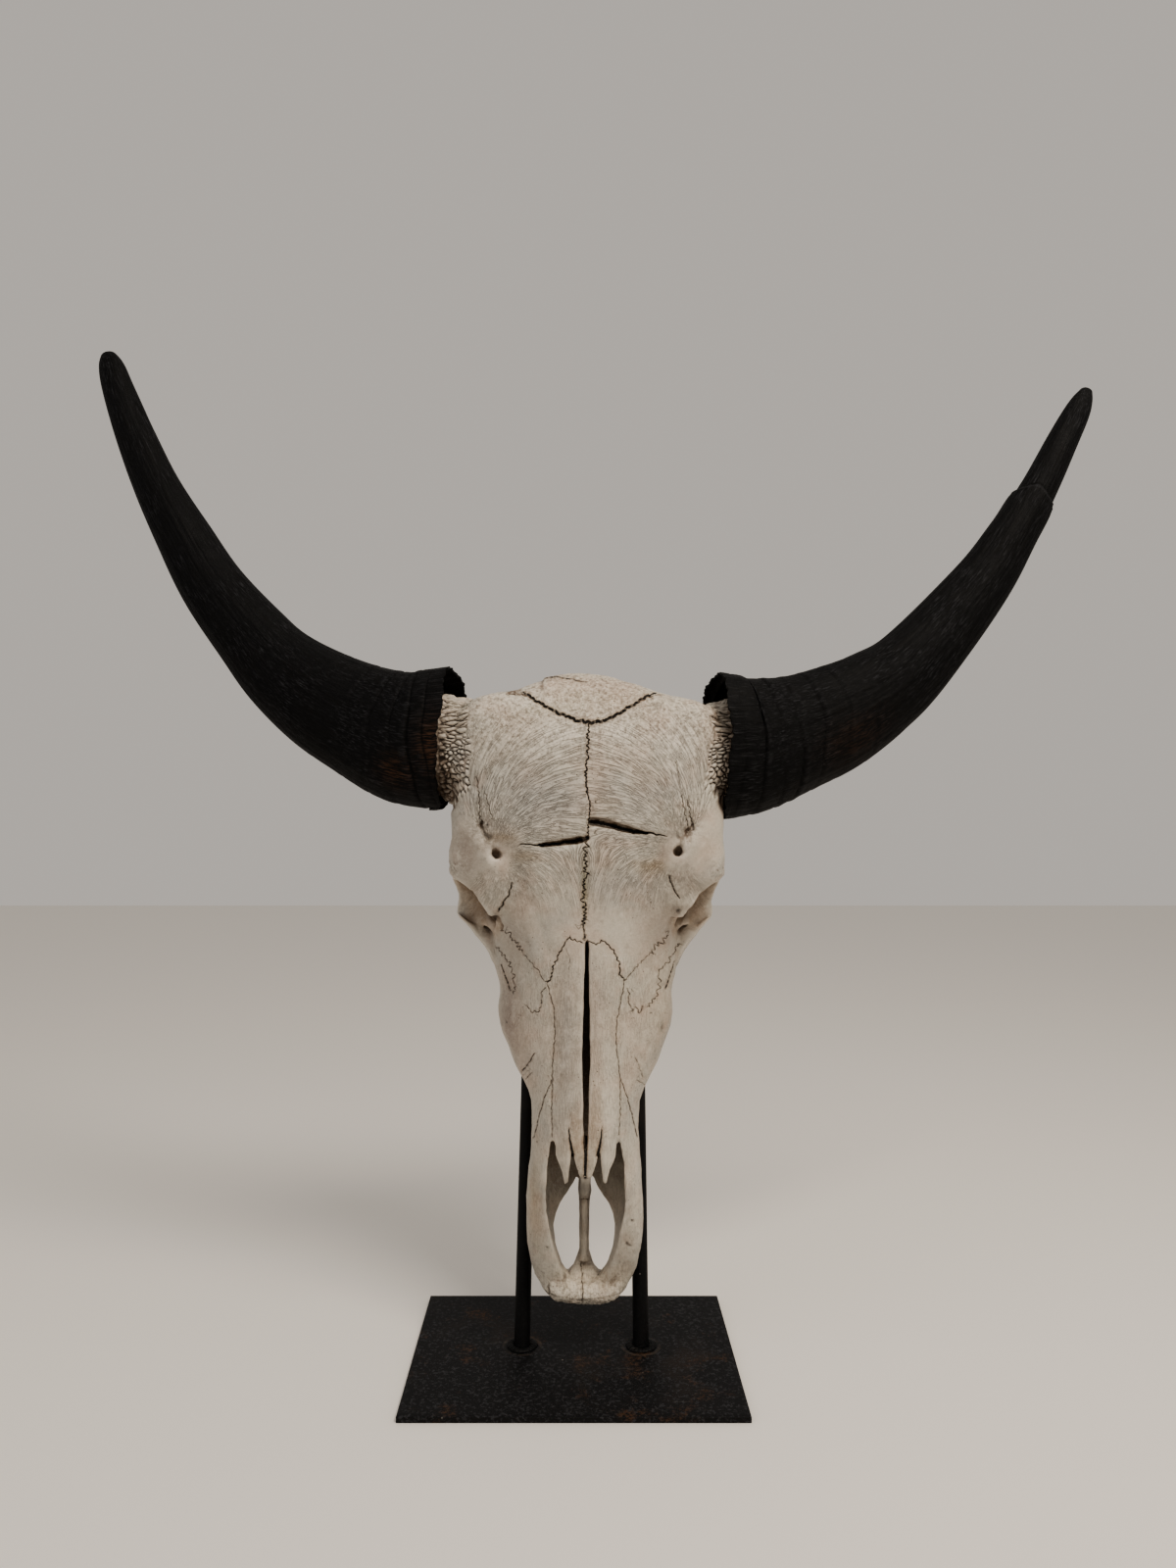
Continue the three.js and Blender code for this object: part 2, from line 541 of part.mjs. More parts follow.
// The weld round a bar's foot, an uneven bead that runs up the bar.
function weldGeometry(footX, seed) {
  const around = 12;
  const profile = [[15, 0], [13.6, 2.8], [9, 6.6], [5, 8.5]];
  const rings = profile.map(([radius, up], row) =>
    Array.from({ length: around }, (_, i) => {
      const angle = (2 * Math.PI * i) / around;
      const uneven = row < profile.length - 1 ? 0.8 * Math.sin(3 * angle + seed) + 0.6 * Math.sin(7 * angle + row) : 0;
      const reach = radius + uneven;
      const y = ROD.footY + up * Math.tan(ROD.lean) + reach * Math.sin(angle);
      return v3(footX + reach * Math.cos(angle), y, PLATE.thickness + up);
    }),
  );
  return skin(rings);
}

// The cheek teeth on one side, from the nose up: name, length along the row, half width, lobes.
const CHEEK_TEETH = [
  ["premolar_1", 17, 8, 1],
  ["premolar_2", 20, 9, 1],
  ["premolar_3", 20, 10.5, 1],
  ["molar_1", 25, 11.5, 2],
  ["molar_2", 28, 12, 2],
  ["molar_3", 30, 11.5, 2],
];
const TEETH_FROM = 254; // height of the row's lower end
const TOOTH_GAP = 0.4;
const TOOTH_ROW_X = [[250, 52], [268, 56], [298, 60], [325, 61.5], [350, 62.5], [375, 62.5], [400, 60]];
// A crown from its buried end to its grinding face: [distance above the grinding face, share of the width].
const CROWN = [[25, 0.9], [13, 1], [0, 0.95]];

// Where the bars' front lies, seen from the skull's own frame. The teeth's grinding faces follow it.
const grindingY = (z) =>
  ROD.footY + (z - PLATE.thickness) * Math.tan(ROD.lean) - ROD.radius / Math.cos(ROD.lean) - 2 * TOUCH_GAP;

// A tooth stands square to the bars, and the row runs up along them.
const TOOTH_UP = v3(0, -Math.cos(ROD.lean), Math.sin(ROD.lean));
const ROW_WAY = v3(0, Math.sin(ROD.lean), Math.cos(ROD.lean));

function toothGeometry(z, [, length, halfWidth, lobes], side) {
  const foot = v3(side * between(TOOTH_ROW_X, z)[0], grindingY(z), z);
  const around = 10;
  const rings = CROWN.map(([up, share]) =>
    Array.from({ length: around }, (_, i) => {
      const angle = (2 * Math.PI * i) / around;
      const [c, s] = [Math.cos(angle), Math.sin(angle)];
      const waist = 1 - 0.14 * (lobes - 1) * Math.exp(-((s / 0.35) ** 2));
      const across = Math.sign(c) * Math.abs(c) ** 0.7 * halfWidth * waist * share;
      const along = (Math.sign(s) * Math.abs(s) ** 0.6 * length) / 2;
      return foot.clone().addScaledVector(TOOTH_UP, up).addScaledVector(ROW_WAY, along).setX(foot.x + side * across);
    }),
  );
  return skin(rings);
}

// The long socket in the upper jaw's edge that one side's teeth stand in, a little wider than they are.
const SOCKET = { endRoom: 0.8, sideRoom: 1.2, below: 8 };

function toothSocket(heights, side) {
  const depth = CROWN[0][0] + TOUCH_GAP;
  const rows = heights.map((z, i) => [z, CHEEK_TEETH[i][2]]);
  const from = heights[0] - CHEEK_TEETH[0][1] / 2 - SOCKET.endRoom;
  const to = heights.at(-1) + CHEEK_TEETH.at(-1)[1] / 2 + SOCKET.endRoom;
  const { below, sideRoom } = SOCKET;
  const rings = [from, ...heights, to].map((z) => {
    const foot = v3(side * between(TOOTH_ROW_X, z)[0], grindingY(z), z);
    const halfWidth = between(rows, THREE.MathUtils.clamp(z, heights[0], heights.at(-1)))[0] + sideRoom;
    const outline = [[-1, -below], [1, -below], [1, depth * 0.6], [0.92, depth], [-0.92, depth], [-1, depth * 0.6]];
    return outline.map(
      ([across, up]) => foot.clone().addScaledVector(TOOTH_UP, up).setX(foot.x + across * halfWidth),
    );
  });
  return skin(rings);
}

// The height of each tooth's middle, one after the other up the row.
function toothHeights() {
  let at = 0;
  return CHEEK_TEETH.map(([, length]) => {
    const middle = at + length / 2;
    at += length + TOOTH_GAP;
    return TEETH_FROM + middle * Math.cos(ROD.lean);
  });
}

function named(name, geometry, material) {
  const mesh = new THREE.Mesh(geometry, material);
  mesh.name = name;
  return mesh;
}

const part = new THREE.Group();

const plate = named("base_plate", new THREE.BoxGeometry(PLATE.width, PLATE.depth, PLATE.thickness), STEEL);
plate.position.set(0, 0, PLATE.thickness / 2);
part.add(plate);

// Everything on the skull is placed in the skull's own frame. The bone is cut where the bars touch it.
const head = new THREE.Group();
head.position.x = SKULL_MIDDLE_X;
head.rotation.y = SKULL_ROLL;
head.updateMatrix();
const intoHead = head.matrix.clone().invert();

const clearances = [];
for (const [side, seed] of [["left", 1], ["right", 2.6]]) {
  const places = [ROD_FOOT_X[side], ROD_TOP_X[side]];
  const rod = solid(rodGeometry(...places, ROD.radius)).add(solid(weldGeometry(ROD_FOOT_X[side], seed)));
  part.add(named(`rod_${side}`, surface(rod), STEEL));
  clearances.push(solid(rodGeometry(...places, ROD.radius + TOUCH_GAP).applyMatrix4(intoHead)));
}

for (const [side, sign] of [["left", -1], ["right", 1]]) {
  const heights = toothHeights();
  heights.forEach((z, i) => {
    head.add(named(`${CHEEK_TEETH[i][0]}_${side}`, toothGeometry(z, CHEEK_TEETH[i], sign), ENAMEL));
  });
  clearances.push(solid(toothSocket(heights, sign)));
}

const cores = Object.values(HORN_LINES).map(coreSolid);
head.add(named("skull", surface(skullSolid(cores, clearances)), BONE));
const clearOfBone = solid(boneLoft(CLEAR_GROWTH));
for (const [side, line] of Object.entries(HORN_LINES)) {
  head.add(named(`horn_sheath_${side}`, surface(sheathSolid(line).subtract(clearOfBone)), HORN));
}
part.add(head);

export default part;
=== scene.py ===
import math

import bmesh
import bpy
import numpy as np
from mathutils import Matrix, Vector, kdtree
from mathutils.bvhtree import BVHTree


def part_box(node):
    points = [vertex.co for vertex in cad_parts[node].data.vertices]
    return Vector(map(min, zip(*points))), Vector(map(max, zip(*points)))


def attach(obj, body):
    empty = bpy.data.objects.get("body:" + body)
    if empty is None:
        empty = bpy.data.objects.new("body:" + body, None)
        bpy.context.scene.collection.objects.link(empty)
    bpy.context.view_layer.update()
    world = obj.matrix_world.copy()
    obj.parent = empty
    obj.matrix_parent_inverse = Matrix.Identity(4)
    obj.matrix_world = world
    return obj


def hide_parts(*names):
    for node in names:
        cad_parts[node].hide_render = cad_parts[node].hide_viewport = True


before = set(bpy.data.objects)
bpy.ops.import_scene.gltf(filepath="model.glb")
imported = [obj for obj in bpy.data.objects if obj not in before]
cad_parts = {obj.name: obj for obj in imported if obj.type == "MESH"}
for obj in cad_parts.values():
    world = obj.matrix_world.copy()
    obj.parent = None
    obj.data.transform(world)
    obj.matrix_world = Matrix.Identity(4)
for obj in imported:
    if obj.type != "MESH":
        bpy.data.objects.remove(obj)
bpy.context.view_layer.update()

# Base plate
# The real plate is 5 mm hot-rolled steel with its black mill scale left on and its edges cut square.
# It was never painted: the scale is speckled, scratched and dusty, and rust comes through in patches.
MM = 0.001
PLATE_EDGE_ROUNDING = 0.6 * MM
PLATE_WAVINESS = 0.12 * MM
PLATE_WAVE_SIZE = 70 * MM
PLATE_CUTS = 48
SCALE_BLACK = "#0b0b0d"
SCALE_GREY = "#353538"
SCALE_BROWN = "#241d19"
RUST_BROWN = "#46301f"
DUST_PALE = "#8f8a84"
RING_PALE = "#5c5046"
ROD_FOOT_X = {"left": -46 * MM, "right": 59.5 * MM}
ROD_FOOT_Y = 7 * MM
BURNT_RING = 16.5 * MM  # the pale ring that the weld's heat left in the scale round each bar's foot
BROAD_FACE = 0.99  # a face whose normal is at least this upright belongs to the plate's top or underside


def linear(hex_colour):
    """An sRGB hex colour as linear red, green, blue and alpha."""
    parts = [int(hex_colour[i : i + 2], 16) / 255 for i in (1, 3, 5)]
    return [p / 12.92 if p <= 0.04045 else ((p + 0.055) / 1.055) ** 2.4 for p in parts] + [1.0]


def finish_named(name, **surface):
    """A new material whose shader sockets have these plain values."""
    made = bpy.data.materials.new(name)
    made.use_nodes = True
    shader = made.node_tree.nodes["Principled BSDF"]
    for socket, value in surface.items():
        shader.inputs[socket.replace("_", " ")].default_value = value
    return made


def add(material, kind, sockets=None, out=0, **settings):
    """Adds a node with its settings; its sockets take values or other nodes' outputs. Gives one output."""
    made = material.node_tree.nodes.new("ShaderNode" + kind)
    for name, value in settings.items():
        setattr(made, name, value)
    for socket, value in (sockets or {}).items():
        if isinstance(value, bpy.types.NodeSocket):
            material.node_tree.links.new(value, made.inputs[socket])
        else:
            made.inputs[socket].default_value = value
    return made.outputs[out]


def mixed(material, share, under, over):
    """A colour with a share of another laid over it."""
    return add(material, "Mix", {0: share, 6: under, 7: over}, 2, data_type="RGBA")


def fade(material, sockets):
    """Turns a value smoothly from 0 to 1 between sockets 1 and 2. Sockets 3 and 4 set other ends."""
    return add(material, "MapRange", sockets, interpolation_type="SMOOTHSTEP")


def surface_of(material, **sockets):
    """Links outputs to the shader's sockets of these names."""
    shader = material.node_tree.nodes["Principled BSDF"]
    for name, output in sockets.items():
        material.node_tree.links.new(output, shader.inputs[name.replace("_", " ")])


def only(piece):
    """Selects this piece alone."""
    bpy.ops.object.select_all(action="DESELECT")
    piece.select_set(True)
    bpy.context.view_layer.objects.active = piece


def apply_modifier(piece, kind, **settings):
    """Puts a modifier on a piece and applies it."""
    only(piece)
    modifier = piece.modifiers.new(kind, kind)
    for name, value in settings.items():
        setattr(modifier, name, value)
    bpy.ops.object.modifier_apply(modifier=modifier.name)


def points_of(piece):
    """The places of a mesh's vertices."""
    flat = np.zeros(len(piece.data.vertices) * 3)
    piece.data.vertices.foreach_get("co", flat)
    return flat.reshape(-1, 3)


def put_points(piece, points):
    """Moves a mesh's vertices to these places."""
    piece.data.vertices.foreach_set("co", points.astype(np.float32).ravel())
    piece.data.update()


def waves(points, size, seed, count=18):
    """A gentle unevenness of about this size, from -1 to 1, the same each time for one seed."""
    draw = np.random.default_rng(seed)
    ways = draw.normal(size=(count, 3))
    ways /= np.linalg.norm(ways, axis=1, keepdims=True)
    ways *= 2 * math.pi / (size * draw.uniform(0.75, 1.5, (count, 1)))
    shift = draw.uniform(0, 2 * math.pi, count)
    return np.sin(points @ ways.T + shift).sum(axis=1) / math.sqrt(2 * count)


def finish_piece(piece, material, slot, *nodes):
    """Gives a finished piece its material, hangs it under the object's root, and hides the CAD nodes that it
    replaces.
    """
    piece.data.materials.clear()
    piece.data.materials.append(material)
    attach(piece, "root")
    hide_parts(*nodes)


PLATE_LOW, PLATE_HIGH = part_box("base_plate")
PLATE_SIZE = PLATE_HIGH - PLATE_LOW
bpy.ops.object.select_all(action="DESELECT")
bpy.ops.mesh.primitive_cube_add(size=1, location=(PLATE_LOW + PLATE_HIGH) / 2, scale=PLATE_SIZE)
plate = bpy.context.active_object
plate.name = "steel_base_plate"
bpy.ops.object.transform_apply(location=True, rotation=True, scale=True)
bpy.ops.object.mode_set(mode="EDIT")
bpy.ops.mesh.select_all(action="SELECT")
bpy.ops.mesh.bevel(offset=PLATE_EDGE_ROUNDING, segments=3, affect="EDGES")
bpy.ops.mesh.select_all(action="DESELECT")
plate_mesh = bmesh.from_edit_mesh(plate.data)
for face in plate_mesh.faces:
    face.select = abs(face.normal.z) > BROAD_FACE
bmesh.update_edit_mesh(plate.data)
bpy.ops.mesh.subdivide(number_cuts=PLATE_CUTS)
bpy.ops.mesh.quads_convert_to_tris()
bpy.ops.object.mode_set(mode="OBJECT")
plate_points = points_of(plate)
on_top = plate_points[:, 2] > PLATE_HIGH.z - 0.1 * MM
dips = np.clip(waves(plate_points, PLATE_WAVE_SIZE, 3), -1, 0) * PLATE_WAVINESS
plate_points[on_top, 2] += dips[on_top]
put_points(plate, plate_points)
bpy.ops.object.shade_smooth_by_angle(angle=math.radians(30))


def mill_scale_steel(name, black, grey, feet):
    """Hot-rolled steel under black mill scale: dull and speckled, with rust, scratches and pale dust."""
    steel = finish_named(name, Metallic=0.2, Specular_IOR_Level=0.3)
    place = add(steel, "TexCoord", out="Object")
    # Grains of scale about 3 mm wide, clouds of a hand's breadth and rust patches of 2 to 4 cm.
    grain = add(steel, "TexNoise", {"Vector": place, "Scale": 330, "Detail": 3, "Roughness": 0.7})
    cloud = add(steel, "TexNoise", {"Vector": place, "Scale": 15, "Detail": 4})
    patch = add(steel, "TexNoise", {"Vector": place, "Scale": 26, "Detail": 8, "Roughness": 0.7})
    brown = fade(steel, {0: cloud, 1: 0.52, 2: 0.75})
    colour = mixed(steel, brown, linear(black), linear(SCALE_BROWN))
    speck = fade(steel, {0: grain, 1: 0.5, 2: 0.64, 4: 0.95})
    colour = mixed(steel, speck, colour, linear(grey))
    fleck = fade(steel, {0: grain, 1: 0.4, 2: 0.6})
    rust = fade(steel, {0: patch, 1: 0.55, 2: 0.66, 4: fleck})
    if feet:
        colour = mixed(steel, rust, colour, linear(RUST_BROWN))
    for x, y in feet:
        away = add(steel, "VectorMath", {0: place, 1: (x, y, PLATE_HIGH.z)}, "Value", operation="DISTANCE")
        halo = fade(steel, {0: away, 1: 48 * MM, 2: 14 * MM, 4: brown})
        colour = mixed(steel, halo, colour, linear(SCALE_BROWN))
        off_ring = add(steel, "Math", {0: away, 1: BURNT_RING}, operation="SUBTRACT")
        off_ring = add(steel, "Math", {0: off_ring}, operation="ABSOLUTE")
        burnt = fade(steel, {0: patch, 1: 0.4, 2: 0.6, 4: 0.4})
        burnt = fade(steel, {0: off_ring, 1: 2.2 * MM, 2: 0.6 * MM, 4: burnt})
        colour = mixed(steel, burnt, colour, linear(RING_PALE))
    # Scratches are long thin waves that show only where the cloud lets them through.
    turned = add(steel, "Mapping", {"Vector": place, "Rotation": (0, 0, 0.5), "Scale": (30, 420, 60)})
    scratch = add(steel, "TexNoise", {"Vector": turned, "Scale": 1.0, "Detail": 1})
    through = fade(steel, {0: cloud, 1: 0.5, 2: 0.6, 4: 0.12})
    scratched = fade(steel, {0: scratch, 1: 0.72, 2: 0.76, 4: through})
    colour = mixed(steel, scratched, colour, linear(DUST_PALE))
    # Dust specks of about a millimetre, one to every few centimetres.
    away = add(steel, "TexVoronoi", {"Vector": place, "Scale": 60}, "Distance")
    chosen = add(steel, "TexVoronoi", {"Vector": place, "Scale": 60}, "Color")
    few = fade(steel, {0: chosen, 1: 0.6, 2: 0.75, 4: 0.8})
    dust = fade(steel, {0: away, 1: 0.06, 2: 0.03, 4: few})
    colour = mixed(steel, dust, colour, linear(DUST_PALE))
    height = add(steel, "Math", {0: rust, 1: 0.6, 2: grain}, operation="MULTIPLY_ADD")
    bump = add(steel, "Bump", {"Height": height, "Strength": 0.5, "Distance": 0.25 * MM})
    rough = add(steel, "MapRange", {0: grain, 3: 0.45, 4: 0.75})
    surface_of(steel, Base_Color=colour, Roughness=rough, Normal=bump)
    return steel


FEET = [(x, ROD_FOOT_Y) for x in ROD_FOOT_X.values()]
plate_finish = mill_scale_steel("mill_scale_plate", SCALE_BLACK, SCALE_GREY, FEET)
finish_piece(plate, plate_finish, "blackened_steel", "base_plate")

# Bars and welds
# Two 14 mm round steel bars lean back behind the skull and are bent forward at the top into prongs.
# Each is welded to the plate all round its foot; the bead and the bar are black with soot and oil.
ROD_TOP_X = {"left": -38 * MM, "right": 60.5 * MM}
ROD_RADIUS = 7 * MM
ROD_LEAN = math.radians(14)
BEND_RADIUS = 24 * MM
PRONG_HEIGHT = 478 * MM
PRONG_LENGTH = 44 * MM
PRONG_CHAMFER = 1.2 * MM
PRONG_END_SHARE = 0.82  # the chamfered end's width as a share of the bar's
ROD_SIDES = 40
ROD_STEPS = 6
BEND_STEPS = 18
FOOT_SINK = 2 * MM
MERGE = 0.01 * MM
BEAD_RING = 9.6 * MM
BEAD_THICKNESS = 3.6 * MM
BEAD_SHIFT = 0.6 * MM  # the bead sits a little behind the bar's middle, because the bar leans back
BEAD_STEPS_ROUND = 132
BEAD_STEPS_ACROSS = 20
BEAD_RIPPLES = 22
BEAD_RIPPLE_HEIGHT = 0.5 * MM
BEAD_UNEVENNESS = 0.5 * MM
BEAD_FLATNESS = 0.6
BEAD_SINK = 1.5 * MM
SOOT_BLACK = "#050506"
SOOT_GREY = "#121213"


def steel_bar(side):
    """A round bar: a circle drawn out along the lean, spun round the bend and drawn forward."""
    foot = Vector((ROD_FOOT_X[side], ROD_FOOT_Y, PLATE_HIGH.z))
    height = PRONG_HEIGHT - PLATE_HIGH.z
    axis = Vector(((ROD_TOP_X[side] - ROD_FOOT_X[side]) / height, math.tan(ROD_LEAN), 1))
    bend_height = height - BEND_RADIUS * math.tan((math.pi / 2 + ROD_LEAN) / 2) * math.cos(ROD_LEAN)
    start = foot - axis * FOOT_SINK
    turned = axis.to_track_quat("Z", "Y").to_euler()
    bpy.ops.object.select_all(action="DESELECT")
    bpy.ops.mesh.primitive_circle_add(vertices=ROD_SIDES, radius=ROD_RADIUS, location=start, rotation=turned)
    bar = bpy.context.active_object
    bar.name = f"steel_rod_{side}"
    bpy.ops.object.transform_apply(location=True, rotation=True, scale=True)
    bpy.ops.object.mode_set(mode="EDIT")
    bpy.ops.mesh.select_all(action="SELECT")
    straight = axis * (bend_height + FOOT_SINK)
    for _ in range(ROD_STEPS):
        bpy.ops.mesh.extrude_region_move(TRANSFORM_OT_translate={"value": straight / ROD_STEPS})
    knee = start + straight
    forward = Vector((0, -math.cos(ROD_LEAN), math.sin(ROD_LEAN)))
    middle = knee + forward * BEND_RADIUS
    bpy.ops.mesh.spin(steps=BEND_STEPS, angle=math.pi / 2 + ROD_LEAN, center=middle, axis=(1, 0, 0))
    for length in (PRONG_LENGTH - PRONG_CHAMFER, PRONG_CHAMFER):
        bpy.ops.mesh.extrude_region_move(TRANSFORM_OT_translate={"value": (0, -length, 0)})
    bpy.ops.transform.resize(value=(PRONG_END_SHARE, 1, PRONG_END_SHARE))
    bpy.ops.mesh.edge_face_add()
    bpy.ops.mesh.select_all(action="SELECT")
    bpy.ops.mesh.remove_doubles(threshold=MERGE)
    bpy.ops.mesh.normals_make_consistent(inside=False)
    bpy.ops.object.mode_set(mode="OBJECT")
    return bar


def weld_bead(side, seed):
    """The fillet round a bar's foot: a ring with the overlapping ripples that a hand-laid bead has."""
    centre = np.array([ROD_FOOT_X[side], ROD_FOOT_Y + BEAD_SHIFT, PLATE_HIGH.z])
    bpy.ops.object.select_all(action="DESELECT")
    bpy.ops.mesh.primitive_torus_add(
        location=centre,
        major_radius=BEAD_RING,
        minor_radius=BEAD_THICKNESS,
        major_segments=BEAD_STEPS_ROUND,
        minor_segments=BEAD_STEPS_ACROSS,
    )
    bead = bpy.context.active_object
    bpy.ops.object.transform_apply(location=True, rotation=True, scale=True)
    out = points_of(bead) - centre
    angle = np.arctan2(out[:, 1], out[:, 0])
    ring = np.stack([np.cos(angle), np.sin(angle), np.zeros(len(angle))], axis=1) * BEAD_RING
    # Each ripple is a shallow scallop that lags towards the bead's outer edge.
    lag = (np.hypot(out[:, 0], out[:, 1]) - BEAD_RING) / BEAD_THICKNESS
    ripple = np.abs(np.sin((angle * BEAD_RIPPLES + lag + seed) / 2))
    uneven = 0.7 * np.sin(3 * angle + seed) + 0.4 * np.sin(7 * angle + 2 * seed)
    swell = 1 + (BEAD_RIPPLE_HEIGHT * ripple + BEAD_UNEVENNESS * uneven) / BEAD_THICKNESS
    swollen = (out - ring) * swell[:, None] * (1, 1, BEAD_FLATNESS)
    put_points(bead, centre + ring + np.maximum(swollen, (-1, -1, -BEAD_SINK)))
    return bead


soot_finish = mill_scale_steel("sooty_steel_bar", SOOT_BLACK, SOOT_GREY, [])
for side, seed in (("left", 1.0), ("right", 2.6)):
    rod = steel_bar(side)
    bead = weld_bead(side, seed)
    only(rod)
    bead.select_set(True)
    bpy.ops.object.join()
    bpy.ops.object.shade_smooth_by_angle(angle=math.radians(40))
    finish_piece(rod, soot_finish, "blackened_steel", f"rod_{side}")

# Skull
# One grown bone, bleached and dry: forehead, nose bones, upper jaw, eye sockets and horn cores in one.
# Its bones meet in toothed seams, the horn bases are beaded, and the forehead is finely wrinkled.
FINE_VOXEL = 1.25 * MM
VOXEL = FINE_VOXEL
SHARP_EDGE = math.radians(50)
RIM_PACE = 2 * MM
# Within the first distance of a rim the facets are kept, and past the second they are smoothed away.
EDGE_KEEP = (2.5 * MM, 14 * MM)
FACET_ROUNDS = 90
RIM_ROUNDS = 6
SKULL_TRIANGLES = 190000
FRONT_RANGE = (0.0, 0.35)  # how far a place must turn to the photograph's eye to count as front
FACING_START = 4 * MM  # the rays to the eye start this far outside the bone
FACING_REACH = 0.5
# The photograph's eye: where it stood, and where its middle ray and one metre's span fall in the picture.
EYE_PLACE = np.array([0.0, -0.967, 0.4926])
EYE_PIXELS = 1119.0
MIDDLE_U, MIDDLE_V = 585.5, 813.0
FACE_PIXEL = 0.82 * MM  # what one pixel of the picture spans on the face
FACE_MIDDLE_U = 598.0


def in_picture(points):
    """Where places of the object fall in the 1200 x 1600 picture, in pixels."""
    away = points[:, 1] - EYE_PLACE[1]
    u = MIDDLE_U + EYE_PIXELS * points[:, 0] / away
    v = MIDDLE_V - EYE_PIXELS * (points[:, 2] - EYE_PLACE[2]) / away
    return np.stack([u, v], axis=1)


def copy_of_node(node_name, name):
    """A CAD node's mesh as a new piece, with its loose triangles merged."""
    piece = bpy.data.objects.new(name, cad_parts[node_name].data.copy())
    bpy.context.scene.collection.objects.link(piece)
    mesh = bmesh.new()
    mesh.from_mesh(piece.data)
    bmesh.ops.remove_doubles(mesh, verts=mesh.verts, dist=MERGE)
    mesh.to_mesh(piece.data)
    mesh.free()
    return piece


def rims_of(piece):
    """Points along the edges of a mesh that stand out sharply."""
    mesh = bmesh.new()
    mesh.from_mesh(piece.data)
    rims = []
    for edge in mesh.edges:
        if edge.is_manifold and edge.calc_face_angle_signed(0) > SHARP_EDGE:
            start, end = (v.co.copy() for v in edge.verts)
            count = max(1, math.ceil(edge.calc_length() / RIM_PACE))
            rims += [start.lerp(end, i / count) for i in range(count + 1)]
    mesh.free()
    return rims


def gaps_to(points, targets):
    """Each point's distance to the nearest target."""
    tree = kdtree.KDTree(len(targets))
    for i, target in enumerate(targets):
        tree.insert(target, i)
    tree.balance()
    return np.array([tree.find(p)[2] for p in points])


def edges_of(piece):
    """A mesh's edges as pairs of vertex numbers."""
    flat = np.zeros(len(piece.data.edges) * 2, np.int32)
    piece.data.edges.foreach_get("vertices", flat)
    return flat.reshape(-1, 2)


def relaxed(values, edges, rounds, weight=1.0):
    """Values drawn towards the mean of their neighbours on a mesh, each by its own weight."""
    count = len(values)
    ends = np.concatenate([edges[:, 0], edges[:, 1]])
    others = np.concatenate([edges[:, 1], edges[:, 0]])
    reach = np.maximum(np.bincount(ends, minlength=count), 1)
    values = values.reshape(count, -1).copy()
    pull = 0.5 * np.broadcast_to(np.asarray(weight, float).reshape(-1, 1), (count, 1))
    for _ in range(rounds):
        for k in range(values.shape[1]):
            mean = np.bincount(ends, weights=values[others, k], minlength=count) / reach
            values[:, k] += pull[:, 0] * (mean - values[:, k])
    return values


def normals_of(piece):
    """A mesh's vertex normals."""
    flat = np.zeros(len(piece.data.vertices) * 3)
    piece.data.vertex_normals.foreach_get("vector", flat)
    return flat.reshape(-1, 3)


def smooth_step(low, high, values):
    """How far values have come from low to high, smoothly and within 0 to 1."""
    share = np.clip((values - low) / (high - low), 0, 1)
    return share * share * (3 - 2 * share)


def note(piece, name, values):
    """Writes a number or a vector for each vertex, for a material to read."""
    kind = "FLOAT" if values.ndim == 1 else "FLOAT_VECTOR"
    written = piece.data.attributes.new(name, kind, "POINT")
    written.data.foreach_set("value" if values.ndim == 1 else "vector", values.astype(np.float32).ravel())


def tree_of(piece):
    """A mesh as a tree for casting rays."""
    mesh = bmesh.new()
    mesh.from_mesh(piece.data)
    tree = BVHTree.FromBMesh(mesh)
    mesh.free()
    return tree


def facing_eye(points, normals, tree):
    """How much each place faces the photograph's eye, below 0 where the object itself hides it."""
    to_eye = EYE_PLACE - points
    to_eye /= np.linalg.norm(to_eye, axis=1, keepdims=True)
    facing = np.einsum("ij,ij->i", normals, to_eye)
    for i in np.flatnonzero(facing > 0.02):
        start = Vector(points[i] + to_eye[i] * FACING_START)
        if tree.ray_cast(start, Vector(to_eye[i]), FACING_REACH)[0] is not None:
            facing[i] = -0.5
    return facing


def line_gaps(where, line):
    """For places in the picture: signed distance to a line, the way along it, and how far past its ends."""
    line = np.asarray(line, float)
    steps = np.hypot(*np.diff(line, axis=0).T)
    gap = np.full(len(where), np.inf)
    signed, along, past = (np.zeros(len(where)) for _ in range(3))
    for i, (start, end) in enumerate(zip(line[:-1], line[1:])):
        way = (end - start) / steps[i]
        rel = where - start
        run = rel @ way
        inside = np.clip(run, 0, steps[i])
        cross = way[0] * rel[:, 1] - way[1] * rel[:, 0]
        distance = np.hypot(cross, run - inside)
        near = distance < gap
        gap[near] = distance[near]
        signed[near] = np.copysign(distance, cross)[near]
        along[near] = steps[:i].sum() + inside[near]
        over = np.zeros(len(where))
        if i == 0:
            over = np.maximum(over, -run)
        if i == len(steps) - 1:
            over = np.maximum(over, run - steps[i])
        past[near] = over[near]
    return signed, along, past


